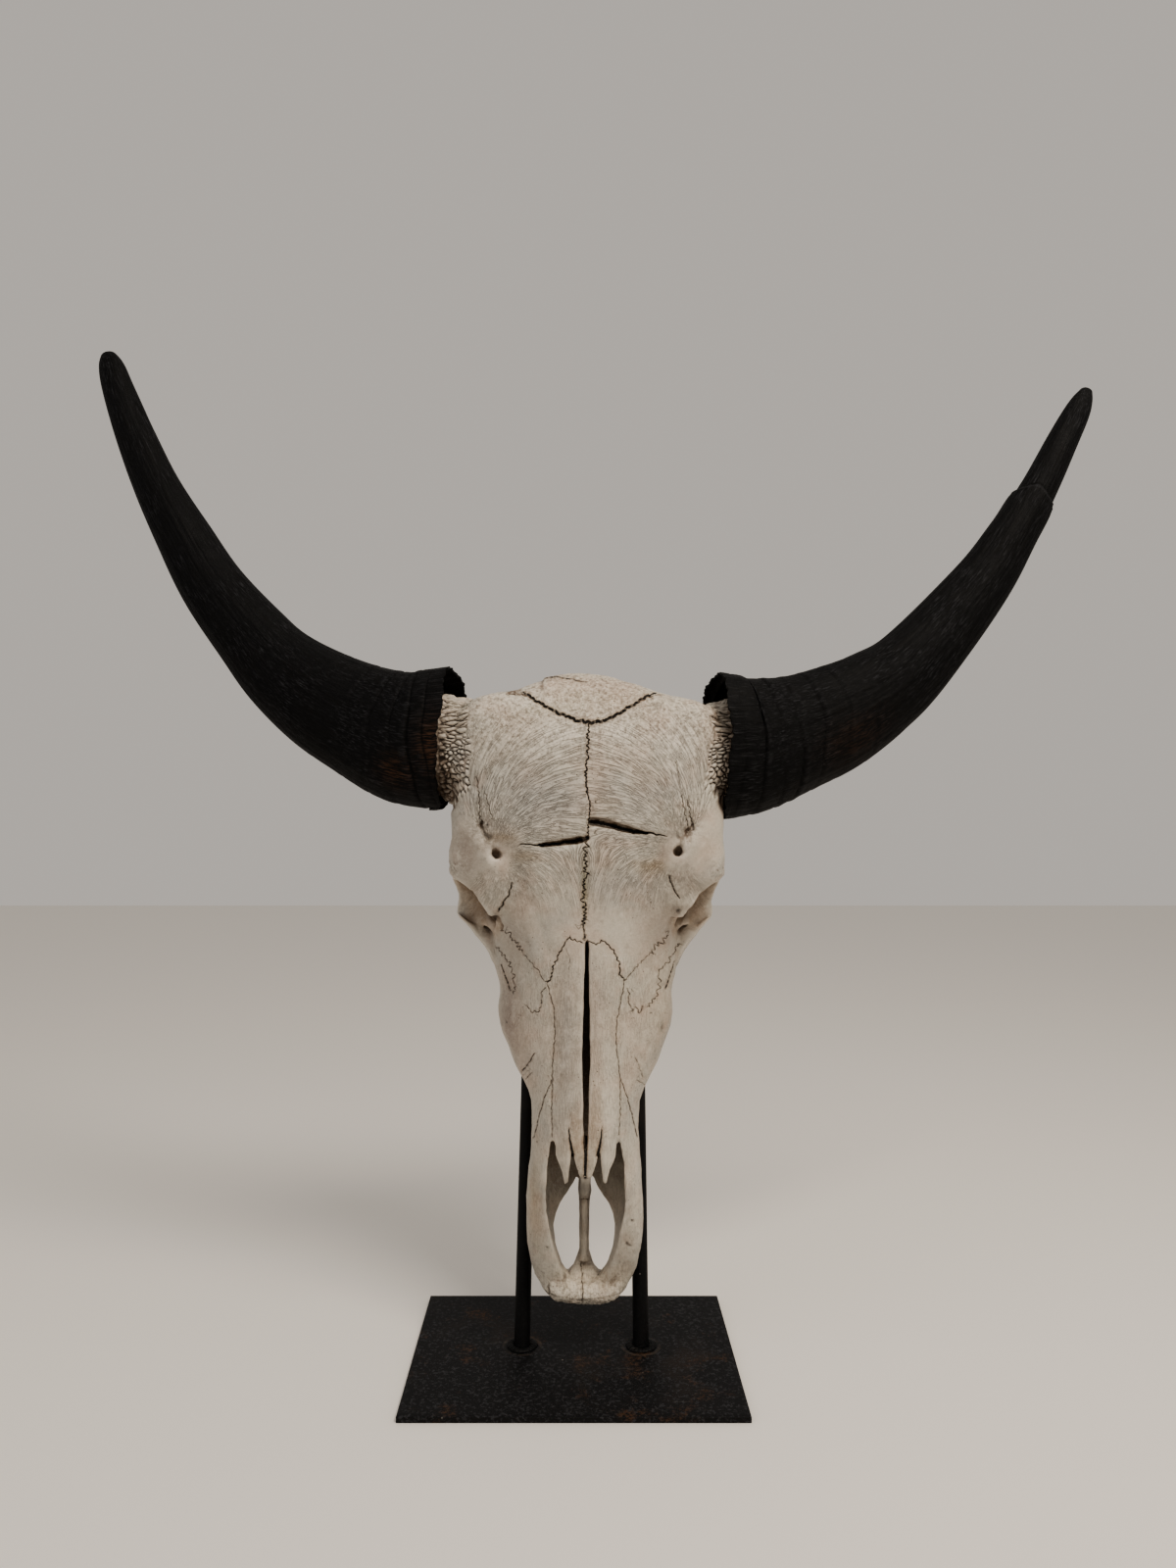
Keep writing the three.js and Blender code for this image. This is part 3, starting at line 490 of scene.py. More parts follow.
def toothed(line, reach, pace, seed):
    """The same line with rounded teeth that reach unevenly to both sides, as a bone seam has them."""
    draw = np.random.default_rng(seed)
    made = [np.array(line[0], float)]
    side = 1
    for start, end in zip(line[:-1], line[1:]):
        start, end = np.array(start, float), np.array(end, float)
        length = np.hypot(*(end - start))
        way = (end - start) / length
        across = np.array([-way[1], way[0]])
        count = max(1, round(length / pace))
        for k in range(count):
            at = start + way * (k + draw.uniform(0.05, 0.95)) * length / count
            made.append(at + across * side * reach * 1.5 * draw.uniform(0.1, 1.1) ** 1.3)
            side = -side if draw.uniform() < 0.8 else side
    made.append(np.array(line[-1], float))
    cut = [made[0]]
    for start, end in zip(made[:-1], made[1:]):
        cut += [start * 0.78 + end * 0.22, start * 0.22 + end * 0.78]
    return np.array(cut + [made[-1]])


# The seams and cracks of the face as they fall in the picture. Each has its group (lines that meet lie in
# different groups), its half width in mm at its start and its end, its depth in mm, its teeth (reach and pace
# in pixels), how dark it is, and its points in pixels.
# Lines of darkness 3 are open cracks and slits: their black thread is painted shade.
SEAMS = [
    (0, (0.9, 1.4), 2.0, (0.8, 2.4), 1.5,
     [(517, 706), (532, 705), (549, 716), (566, 726), (585, 734), (602, 737.5)]),
    (0, (1.4, 0.8), 2.0, (0.8, 2.4), 1.5,
     [(602, 737.5), (619, 735), (630, 729), (641, 722), (652, 715), (664, 709), (676, 706), (684, 707)]),
    (1, (0.55, 0.65), 1.1, (1.2, 1.9), 1.3,
     [(601.5, 738), (600, 752), (599, 767), (598, 783), (598, 798), (599.5, 809)]),
    (1, (0.55, 0.55), 1.0, (0.8, 2.2), 1.2, [(599.5, 809), (602, 821), (601, 836), (600, 851), (599, 858)]),
    (1, (0.45, 0.55), 0.8, (2.3, 1.6), 1.3,
     [(599, 858), (597.6, 874), (598, 890), (596, 906), (595.4, 927), (595.5, 944)]),
    (1, (0.5, 0.9), 0.9, (0.6, 3), 0.9, [(595.5, 944), (596, 951), (596.5, 960)]),
    (2, (1.9, 1.2), 3.0, (0.5, 4), 3.0, [(600.5, 855), (590, 857), (578, 859)]),
    (2, (1.2, 0.3), 2.0, (0.5, 4), 3.0, [(578, 859), (562, 861.5), (548, 862.5), (531, 861.5)]),
    (2, (2.3, 1.8), 3.0, (0.5, 4), 3.0, [(602, 838.5), (613, 840), (624, 842.5), (632, 845)]),
    (2, (1.8, 0.3), 2.0, (0.5, 4), 3.0, [(632, 845), (645, 848.5), (660, 850), (679, 853)]),
    (0, (0.35, 0.6), 0.9, (0.9, 2.2), 1.0,
     [(594, 962), (584, 958.5), (579.5, 956.5), (575, 965), (569, 974.5), (565, 985), (563, 993),
      (562.5, 999), (558.5, 1002.5)]),
    (0, (0.35, 0.6), 0.9, (0.9, 2.2), 1.0,
     [(599.4, 960), (609, 964.5), (614.7, 958.7), (624, 967.5), (631, 981), (633, 995), (637, 1000.5)]),
    (2, (0.4, 0.25), 0.5, (0.8, 2.6), 0.75,
     [(558.5, 1002.5), (554, 1000.5), (549.4, 990), (541, 980.7), (533, 971)]),
    (2, (0.4, 0.25), 0.5, (0.8, 2.6), 0.7, [(637, 1000.5), (641, 996.5), (647, 989), (656, 980), (664, 972)]),
    (2, (0.4, 0.4), 0.6, (2.4, 1.9), 0.85, [(533, 971), (526, 961), (518, 953), (509, 945)]),
    (2, (0.4, 0.4), 0.6, (2.4, 1.9), 0.85, [(664, 972), (671, 966), (678, 959), (685, 949)]),
    (1, (0.4, 0.3), 0.7, (0.5, 4), 0.75,
     [(558.5, 1004), (561, 1014), (564.7, 1026), (565.8, 1047), (565.7, 1062), (564, 1078), (563.4, 1093),
      (563.4, 1105), (562.7, 1124), (562.8, 1142), (563, 1160)]),
    (1, (0.4, 0.3), 0.7, (0.5, 4), 0.7,
     [(637, 1002), (636, 1012), (631.5, 1032), (629, 1047), (629, 1070), (631.5, 1088), (633, 1102),
      (633, 1120), (633, 1139), (631.5, 1158)]),
    (2, (0.3, 0.5), 0.6, (0.4, 5), 0.85, [(563.4, 1101), (556.5, 1117.6), (550.4, 1137.5), (545, 1160.4)]),
    (2, (0.3, 0.5), 0.6, (0.4, 5), 0.85, [(633.8, 1101), (640.7, 1122), (645.3, 1139), (650, 1160.4)]),
    (3, (0.4, 1.3), 0.9, (0.3, 5), 3.0, [(580.5, 1153), (582, 1166), (584.5, 1179)]),
    (3, (0.4, 1.3), 0.9, (0.3, 5), 3.0, [(614.1, 1153), (612.5, 1166), (610, 1179)]),
    (3, (0.3, 0.4), 0.6, (0.9, 2.6), 0.9, [(486, 792), (488.2, 808), (489.5, 833.7), (492, 841)]),
    (2, (0.3, 0.3), 0.5, (0.9, 2.4), 0.8, [(494.5, 808), (498.5, 821), (502.3, 836)]),
    (3, (0.3, 0.3), 0.5, (0.9, 2.4), 0.8, [(689.9, 777.4), (691, 785), (692.4, 792.8)]),
    (3, (0.3, 0.5), 0.7, (0.9, 2.4), 0.9, [(701.4, 815.8), (704, 830), (707.8, 846.5)]),
    (2, (0.3, 0.4), 0.6, (0.9, 2.4), 0.8, [(695, 812), (699, 830), (703, 848)]),
    (0, (0.4, 0.4), 0.5, (1.6, 2.2), 0.75,
     [(506, 966), (515, 976), (521, 985), (524, 996), (525.7, 1007), (524, 1014)]),
    (0, (0.4, 0.4), 0.5, (1.6, 2.2), 0.75,
     [(694, 963), (684, 977), (674.5, 988), (673, 1000), (672, 1012), (668, 1018), (661, 1027)]),
    (3, (0.4, 0.8), 0.9, (0.3, 5), 1.0, [(511.5, 984), (516.5, 999), (521, 1010.5)]),
    (3, (0.4, 0.7), 0.8, (0.3, 5), 1.0, [(688, 981), (684, 994), (679, 1009.5)]),
    (3, (0.4, 0.5), 0.6, (0.7, 2.5), 0.75,
     [(538, 1026.6), (542.5, 1034), (545, 1031), (549.4, 1033.5), (552.5, 1023.6), (553, 1011),
      (556.5, 1008)]),
    (3, (0.4, 0.5), 0.6, (0.7, 2.5), 0.75,
     [(656, 1027), (652, 1034), (649, 1027), (645.3, 1032), (641.5, 1022.7), (642.3, 1012), (640, 1009)]),
    (3, (0.3, 0.3), 0.3, (0.4, 3), 0.4, [(577.8, 968.5), (581.6, 979), (580.8, 990)]),
    (3, (0.5, 0.8), 1.2, (0.6, 4), 1.0,
     [(522.7, 901), (521, 907), (518.8, 913.4), (514, 921), (508.9, 929.4)]),
    (3, (0.9, 0.5), 1.1, (0.4, 4), 1.0, [(683, 893), (684, 900), (687, 908), (693, 916)]),
    (3, (0.4, 0.6), 0.6, (0.4, 4), 0.85, [(545.8, 1074.7), (540, 1084), (532.8, 1093)]),
    (3, (0.35, 0.5), 0.5, (0.4, 4), 0.6, [(543, 1094.6), (536.6, 1100.7)]),
    (3, (0.35, 0.4), 0.4, (0.4, 4), 0.5, [(648.4, 1079.3), (656, 1099)]),
    (3, (0.35, 0.4), 0.4, (0.4, 4), 0.5, [(650, 1102), (657.6, 1107)]),
    (2, (1.7, 1.1), 0.8, (0.3, 5), 3.0, [(597.6, 1160), (597.6, 1184), (596.8, 1201)]),
    (0, (0.35, 0.45), 0.8, (0.7, 3), 0.8, [(593, 1288), (593.7, 1303.7), (595, 1311), (594.3, 1328)]),
    (1, (0.5, 0.3), 0.8, (0.4, 3), 0.9, [(560, 1311), (561, 1317), (563, 1322)]),
    (2, (0.35, 0.35), 0.7, (0.6, 3), 0.45,
     [(552, 1316), (562, 1321), (576, 1324.5), (593, 1327), (610, 1325), (626, 1322), (638, 1317)]),
    (0, (0.7, 0.4), 1.0, (0.3, 6), 1.0, [(555, 692), (567, 690.5), (580, 692.5), (598, 696)]),
    (2, (0.5, 0.5), 1.0, (0.3, 4), 0.6, [(590, 1224), (597, 1223), (603, 1224)]),
]
SEAM_GROUPS = 4
SEAM_BAND = 4.2  # pixels to each side of a line in which it can show
SEAM_MARGIN = 12  # pixels round a seam in which places are looked at
NOT_NEAR = 9.0


def seam_notes(where, facing):
    """For each group of seams: distance in half widths, way along in mm, darkness. And the carved depth."""
    count = len(where)
    groups = [np.tile([NOT_NEAR, 0.0, 0.0], (count, 1)) for _ in range(SEAM_GROUPS)]
    nearest = np.full((SEAM_GROUPS, count), np.inf)
    depth = np.zeros(count)
    for seed, (group, (first, last), deep, (reach, pace), darkness, line) in enumerate(SEAMS):
        drawn = toothed(line, reach, pace, seed) if reach else line
        inside = where > np.min(line, axis=0) - SEAM_MARGIN
        inside &= where < np.max(line, axis=0) + SEAM_MARGIN
        close = np.flatnonzero(np.all(inside, axis=1) & (facing > 0.1))
        signed, along, past = line_gaps(where[close], drawn)
        share = along / np.hypot(*np.diff(drawn, axis=0).T).sum()
        in_widths = signed * FACE_PIXEL / ((first + (last - first) * share) * MM)
        ended = 1 - smooth_step(0, 1.5, past)
        depth[close] = np.maximum(depth[close], deep * MM * np.exp(-(in_widths**2)) * ended)
        wins = np.abs(signed) < nearest[group][close]
        index = close[wins]
        nearest[group][index] = np.abs(signed[wins])
        shown = darkness * ended * (1 - smooth_step(SEAM_BAND * 0.6, SEAM_BAND, np.abs(signed)))
        run = along * FACE_PIXEL / MM + seed * 7
        groups[group][index] = np.stack([in_widths, run, shown], axis=1)[wins]
    return groups, depth


# Swellings (above 0) and furrows (below 0) of the face in the picture: height in mm, half width in pixels
# and the line they follow. Those of the left side are mirrored about the face's middle.
SWELLINGS = [
    (1.5, 9.0, [(582, 985), (580, 1050), (578, 1130), (577, 1180)]),
    (-0.6, 4.0, [(564, 1000), (566, 1060), (563, 1150)]),
    (2.2, 8.5, [(474, 842), (492, 864), (503, 893), (509, 918), (503, 934)]),
    (1.2, 6.0, [(510, 884), (515, 900), (513, 915)]),
    (-2.2, 8.0, [(520, 872), (530, 893), (541, 920), (551, 950), (558, 972)]),
    (-1.6, 5.0, [(488, 835), (492, 846), (500, 856)]),
    (1.0, 12.0, [(466, 872), (476, 895)]),
    (1.2, 10.0, [(518, 1020), (530, 1060), (540, 1090)]),
    (-0.9, 8.0, [(524, 965), (545, 1000), (552, 1040)]),
    (1.4, 8.0, [(551, 1285), (560, 1302), (572, 1318)]),
    (0.9, 14.0, [(530, 770), (560, 790)]),
    (0.8, 10.0, [(548, 1200), (543, 1240), (548, 1280)]),
    (-1.6, 3.5, [(568, 1303), (573, 1311)]),
    (1.3, 4.0, [(583, 1292), (587, 1303), (588, 1314)]),
    (-1.4, 3.2, [(505, 868), (497, 855), (490, 843)]),
    (1.3, 3.0, [(513, 880), (507, 884), (500, 880)]),
    (1.0, 5.0, [(464, 846), (462, 868), (464, 884)]),
]
# Craggy places, each with its reach in pixels.
CRAGS = [
    ((488, 846), 10), ((497, 858), 8), ((463, 886), 8), ((704, 848), 11), ((699, 858), 8), ((733, 888), 8),
]
# How the face's holes and socket corners are shifted: place in the picture, shift across and up in mm, and
# reach in pixels.
NUDGES = [
    ((506.5, 861), (-0.5, -9.5), 15),
    ((693, 861), (0, -6), 15),
    ((508, 948), (-2, 8), 13),
    ((690, 952), (0, 9), 15),
    ((474, 931), (-8, 0), 16),
    ((503, 988), (-5, 0), 18),
    ((722, 932), (6, 0), 15),
    ((688, 990), (4.5, 0), 18),
    ((464, 812), (0, -8), 13),
]
# How far back the changes of the face fade out: none past the first place, whole in front of the second.
NUDGE_DEPTH = (120 * MM, 80 * MM)
HOLE_DEPTH = (70 * MM, 40 * MM)
PIT_DEPTH = (60 * MM, 45 * MM)
FORAMINA = np.array([(505.8, 872.3), (693.0, 868.2)])  # the hole above each eye
FORAMEN_WIDENING = 1.3 * MM
FORAMEN_REACH = 12 * MM
# Pits: place in the picture, depth in mm, reach in pixels. The first is a swelling of the nose's middle bar.
PITS = [
    ((597, 1212), -1.7, 8.0),
    ((505, 936), 2.4, 3.2), ((692, 929), 2.2, 3.2), ((491, 839), 1.2, 2.0), ((497, 841.5), 1.2, 1.8),
    ((692.4, 853), 1.0, 1.8), ((640, 1269), 1.0, 1.8), ((643.5, 1271), 0.8, 1.4), ((645, 1245), 0.9, 1.5),
    ((558, 1272), 0.6, 1.5), ((517, 1043), 0.6, 1.4), ((676, 1050), 0.6, 1.4),
]
# The floor of the jaw's tip slopes forward down to its rim, between two heights and two depths.
TIP_HEIGHTS = (1292, 1322)
TIP_DEPTHS = (6 * MM, -13 * MM)
TIP_MIDDLE_U = 596.5
TIP_HALF_WIDTH = 22
TIP_PUSH = 9 * MM
TIP_RIM = (1303, 1324)  # the rim is pushed forward between these heights in the picture
# The crown: its bone ends at the left in a thin raised ledge, and dips beside it.
CROWN_RISE = (570 * MM, 592 * MM)
LEDGE_U = 555
LEDGE_END = (640, 600)
LEDGE_HEIGHT = 2.3 * MM
CROWN_DIP = 3.2 * MM
CROWN_DIPS = ((524, 17, 1.0), (686, 20, 0.8))  # place across and reach in pixels, and share of the depth


def crags(where):
    """How craggy each place in the picture is, from 0 to 1."""
    return np.max([np.exp(-((where - place) ** 2).sum(axis=1) / reach**2) for place, reach in CRAGS], axis=0)


def nudge_face(points):
    """Shifts the face's holes and corners to their places, and widens the hole above each eye."""
    where = in_picture(points)
    near = smooth_step(*NUDGE_DEPTH, points[:, 1])
    for place, (across, up), reach in NUDGES:
        share = near * np.exp(-((where - place) ** 2).sum(axis=1) / reach**2)
        points[:, 0] += across * MM * share
        points[:, 2] += up * MM * share
    near = smooth_step(*HOLE_DEPTH, points[:, 1])
    for place in FORAMINA:
        out = in_picture(points) - place
        away = np.hypot(*out.T) * FACE_PIXEL
        push = near * FORAMEN_WIDENING * smooth_step(0, 2 * MM, away)
        push = push * smooth_step(FORAMEN_REACH, 2 * MM, away)
        points[:, 0] += push * out[:, 0] * FACE_PIXEL / (away + 1e-6)
        points[:, 2] -= push * out[:, 1] * FACE_PIXEL / (away + 1e-6)


def shape_jaw_tip(points, front):
    """Brings the rim of the jaw's tip forward and lets the floor between the bars slope down to it."""
    v = in_picture(points)[:, 1]
    points[:, 1] -= TIP_PUSH * smooth_step(*TIP_RIM, v) * smooth_step(15 * MM, 0, points[:, 1])
    u, v = in_picture(points).T
    across = smooth_step(TIP_HALF_WIDTH + 4, TIP_HALF_WIDTH - 4, np.abs(u - TIP_MIDDLE_U))
    down = smooth_step(TIP_HEIGHTS[0] - 4, TIP_HEIGHTS[0] + 2, v)
    down = down * smooth_step(TIP_HEIGHTS[1] + 5, TIP_HEIGHTS[1], v)
    target = np.interp(v, TIP_HEIGHTS, TIP_DEPTHS)
    points[:, 1] += (target - points[:, 1]) * across * down * front * (points[:, 1] < 18 * MM)


def shape_crown(points):
    """Raises the crown's ledge and lowers the dips between the crown and the horn bases."""
    u = in_picture(points)[:, 0]
    high = smooth_step(*CROWN_RISE, points[:, 2])
    ledge = smooth_step(LEDGE_U - 0.8, LEDGE_U + 0.4, u) * smooth_step(*LEDGE_END, u)
    dips = sum(share * np.exp(-(((u - middle) / reach) ** 2)) for middle, reach, share in CROWN_DIPS)
    points[:, 2] += high * (LEDGE_HEIGHT * ledge - CROWN_DIP * dips)


# Beads of the horn bases: where they begin and end along the horn, and how they change from ridges to knobs.
BURR_FROM = {-1: 101 * MM, 1: 104 * MM}
BURR_LOWER = {-1: 4 * MM, 1: 6 * MM}  # how much nearer to the middle they begin at the horn's lower side
BURR_TO = 132 * MM
BURR_REACH = (62 * MM, 68 * MM)  # from the horn's axis: the beads fade out between these
BEAD_PACE = 4.6 * MM
BEAD_HEIGHT = 2.4 * MM
HEAD_MIDDLE_X = 8.8 * MM
HEAD_ROLL = 0.006
HORN_AXIS_Y = 12 * MM
HORN_AXIS_Z = 541 * MM


def in_head(points):
    """The same places in the skull's own upright frame."""
    made = points.copy()
    made[:, 0] -= HEAD_MIDDLE_X + HEAD_ROLL * points[:, 2]
    made[:, 2] += HEAD_ROLL * (points[:, 0] - HEAD_MIDDLE_X)
    return made


def bead_heights(around, out, seeds, size, pace):
    """How high each place lies on the bead nearest to it, from 0 in the creases to 1 on the tops."""
    height = np.zeros(len(around))
    for part in np.array_split(np.arange(len(around)), max(1, len(around) // 1500)):
        gaps = np.hypot(around[part, None] - seeds[:, 0], out[part, None] - seeds[:, 1]) / size
        two = np.partition(gaps, 1, axis=1)[:, :2]
        dome = np.sqrt(np.clip(1 - (two[:, 0] / (pace * 0.75)) ** 2, 0, 1))
        crease = smooth_step(0, 0.5 * pace, two[:, 1] - two[:, 0])
        height[part] = dome * crease
    return height


def round_horn(points):
    """Places seen from the horns' axis: way out from the middle, rise, way ahead and angle round it."""
    head = in_head(points)
    rise = head[:, 2] - HORN_AXIS_Z
    ahead = HORN_AXIS_Y - head[:, 1]
    return head[:, 0], rise, ahead, np.arctan2(rise, ahead)


def burr_share(points):
    """How much each place belongs to the beaded bases of the two horns."""
    across, rise, ahead, around = round_horn(points)
    share = np.zeros(len(points))
    for side in (-1, 1):
        begin = BURR_FROM[side] - BURR_LOWER[side] * smooth_step(0.2, -0.9, np.sin(around))
        begin = begin + 1.6 * MM * np.sin(5 * around + side) + 1.0 * MM * np.sin(11 * around)
        out = across * side
        here = smooth_step(0, 2.5 * MM, out - begin) * (1 - smooth_step(-6 * MM, 0, out - BURR_TO))
        share = np.maximum(share, here * (1 - smooth_step(*BURR_REACH, np.hypot(rise, ahead))))
    return share


def burr_beads(points, share):
    """The height of the beads round both horn bases, from 0 to 1."""
    across, _, _, around = round_horn(points)
    height = np.zeros(len(points))
    girth = 55 * MM
    draw = np.random.default_rng(11)
    for side in (-1, 1):
        chosen = np.flatnonzero((share > 0.02) & (np.sign(across) == side))
        # Near the top the beads are drawn out into ridges along the horn, so the way out is counted shorter.
        short = 0.36 + 0.64 * smooth_step(0.35, -0.35, np.sin(around[chosen]))
        reach_out = (np.abs(across[chosen]) - 95 * MM) * short
        turn = around[chosen] * girth + 0.6 * reach_out * (1 - short)
        rows = np.arange(-2, 12) * BEAD_PACE
        columns = np.arange(-math.pi * girth, math.pi * girth, BEAD_PACE)
        seeds = np.array([(c, r) for r in rows for c in columns])
        seeds = seeds + draw.uniform(-0.6, 0.6, seeds.shape) * BEAD_PACE
        size = draw.uniform(0.6, 1.45, len(seeds))
        height[chosen] = bead_heights(turn, reach_out, seeds, size, BEAD_PACE)
    return height


KEEP_STRENGTH = 0.0001  # a low figure, so that the thinning still goes by shape first
SEAM_FINE = 0.35  # seams are carved finely where they show at least this strongly
BEADS_SEEN = 122 * MM  # the sheaths hide the beads that lie farther out


def detail_zone(points, groups):
    """Which places need a fine mesh: those along the seams, and the beads that the sheaths leave open."""
    in_seam = np.max([group[:, 2] for group in groups], axis=0) > SEAM_FINE
    across, _, ahead, _ = round_horn(points)
    return in_seam | ((burr_share(points) > 0.1) & (np.abs(across) < BEADS_SEEN) & (ahead > 0))


# The forehead's wrinkles fan out from the hole above each eye, and bend on their way to the middle.
WRINKLE_BEND = 0.55
WRINKLE_PIXELS = 55  # how far from the hole one radian of the fan spans as much as one unit along it


def wrinkle_notes(where, front, burr):
    """Coordinates in mm across and along the bone's fibres, and how strongly they show."""
    left = where[:, 0] < FACE_MIDDLE_U
    from_hole = where - np.where(left[:, None], FORAMINA[0], FORAMINA[1])
    away = np.hypot(*from_hole.T) + 1e-6
    turn = np.arctan2(-from_hole[:, 1], np.where(left, 1, -1) * from_hole[:, 0])
    to_middle = np.abs(where[:, 0] - FACE_MIDDLE_U)
    downward = 0.6 * np.exp(-to_middle / 14) * smooth_step(855, 885, where[:, 1])
    fan_across = (turn + WRINKLE_BEND * away / 90 + downward) * WRINKLE_PIXELS * FACE_PIXEL / MM
    fan_along = WRINKLE_PIXELS * FACE_PIXEL / MM * np.log(away / 60)
    zone = smooth_step(10, 30, away) * smooth_step(948, 905, where[:, 1]) * smooth_step(712, 765, where[:, 1])
    zone = zone * front * (1 - burr) * smooth_step(2.4, 2.0, np.abs(turn))
    zone = zone * (0.5 + 0.5 * smooth_step(910, 868, where[:, 1]))
    # Below the forehead the bone's fibres run straight down the nose.
    nose = where[:, 1] > 955
    across = np.where(nose, where[:, 0] * FACE_PIXEL / MM, fan_across)
    along = np.where(nose, where[:, 1] * FACE_PIXEL / MM, fan_along)
    amount = np.where(nose, 0.3 * smooth_step(960, 990, where[:, 1]) * front, zone)
    return np.stack([across, along, amount], axis=1)


skull = copy_of_node("skull", "bone_skull")
cad_skull_tree = tree_of(skull)
rims = rims_of(skull)
apply_modifier(skull, "REMESH", mode="VOXEL", voxel_size=VOXEL)

# The facets are smoothed away on the broad faces, and the rims of thin bone only get rounded.
points = points_of(skull)
edges = edges_of(skull)
broad = smooth_step(*EDGE_KEEP, gaps_to(points, rims))
rounds_for = (FINE_VOXEL / VOXEL) ** 2
points = relaxed(points, edges, round(FACET_ROUNDS * rounds_for), broad)
points = relaxed(points, edges, round(RIM_ROUNDS * rounds_for), 0.8)
nudge_face(points)
put_points(skull, points)

# Where the beads and the seams lie, the mesh is made finer before they are carved.
normals = normals_of(skull)
where = in_picture(points)
facing = facing_eye(points, normals, cad_skull_tree)
finer = detail_zone(points, seam_notes(where, facing)[0])
only(skull)
bpy.ops.object.mode_set(mode="EDIT")
bpy.ops.mesh.select_mode(type="VERT")
bpy.ops.mesh.select_all(action="DESELECT")
bpy.ops.object.mode_set(mode="OBJECT")
skull.data.vertices.foreach_set("select", finer)
bpy.ops.object.mode_set(mode="EDIT")
bpy.ops.mesh.subdivide(number_cuts=1)
bpy.ops.object.mode_set(mode="OBJECT")

points = points_of(skull)
edges = edges_of(skull)
normals = normals_of(skull)
where = in_picture(points)
facing = facing_eye(points, normals, cad_skull_tree)
front = smooth_step(*FRONT_RANGE, relaxed(facing, edges, 6)[:, 0])
groups, depth = seam_notes(where, facing)
on_burr = burr_share(points)
bead = burr_beads(points, on_burr)
lift = -depth
for height, half_width, line in SWELLINGS:
    for mirrored in (False, True):
        drawn = [(2 * FACE_MIDDLE_U - u, v) if mirrored else (u, v) for u, v in line]
        gap = np.abs(line_gaps(where, drawn)[0])
        lift += front * height * MM * np.exp(-((gap / half_width) ** 2))
for place, pit_depth, reach in PITS:
    gap = np.hypot(*(where - place).T)
    lift -= pit_depth * MM * smooth_step(*PIT_DEPTH, points[:, 1]) * np.exp(-((gap / reach) ** 2))
lift += on_burr * (bead * BEAD_HEIGHT - 0.8 * MM + 0.18 * MM * waves(points, 2.5 * MM, 10))
lift += 0.35 * MM * waves(points, 26 * MM, 5) + 0.16 * MM * waves(points, 8 * MM, 6)
lift += crags(where) * front * 0.8 * MM * waves(points, 5 * MM, 12)
# The poll and the jaw's tip are rough, and the forehead has coarse ridges under its wrinkles.
rough_zone = np.maximum(smooth_step(775, 715, where[:, 1]), smooth_step(1310, 1323, where[:, 1]))
lift += rough_zone * 0.22 * MM * waves(points, 3.4 * MM, 7)
lift += smooth_step(1280, 1300, where[:, 1]) * 0.4 * MM * waves(points, 8 * MM, 9)
wrinkle = wrinkle_notes(where, front, on_burr)
ridge_phase = wrinkle[:, 0] * 2 * math.pi / 5.5 + 1.3 * np.sin(wrinkle[:, 1] / 7) + waves(points, 15 * MM, 8)
lift += wrinkle[:, 2] * 0.13 * MM * np.sin(ridge_phase)
points = points + normals * lift[:, None]
shape_jaw_tip(points, front)
shape_crown(points)
hollow = np.einsum("ij,ij->i", relaxed(points, edges, 10) - points, normals)
put_points(skull, points)
# Beside the holes over the eyes the bone is too rough to have worn bright along its edges.
note(skull, "hollow", np.clip(hollow / (0.6 * MM), -1 + 0.9 * crags(where) * front, 1))

# The mesh is thinned where it is flat or hidden, and kept whole along the seams and on the beads.
free = skull.vertex_groups.new(name="free")
detailed = detail_zone(points, groups)
ids = np.arange(len(points))
free.add(ids[(front < 0.05) & ~detailed].tolist(), 1.0, "REPLACE")
free.add(ids[(front >= 0.05) & ~detailed].tolist(), 0.9, "REPLACE")
apply_modifier(skull, "TRIANGULATE")
thinning = min(1.0, SKULL_TRIANGLES / len(skull.data.polygons))
apply_modifier(skull, "DECIMATE", ratio=thinning, vertex_group="free", vertex_group_factor=KEEP_STRENGTH)
skull.vertex_groups.clear()

# What the bone's finish needs to know at each place: seams, fibres, stains, painted highlights and shade, and
# how shut in it is.
OPEN_RAYS = 14
OPEN_START = 2.5 * MM  # the rays start this far outside the bone
OPEN_REACH = 120 * MM
EYE_AXIS = np.array([0.78, -0.3, -0.545])
EYE_CENTRE = np.array([98, 4, 396]) * MM
BONE_CREAM = "#bcb6aa"
BONE_GREY = "#a19f9a"
BONE_ROSY = "#b9a697"
BONE_OLIVE = "#6f6a42"
BONE_OCHRE = "#98794b"
BONE_WHITE = "#dfd9cd"
BONE_IVORY = "#e3d2b8"
BONE_TAN = "#a08b74"
BONE_MAUVE = "#887a71"
SHADE_AND_DIRT_BROWN = "#5f4630"
PAINTED_HOLE_SHADE = "#1c1410"
SOCKET_BROWN = "#93795f"
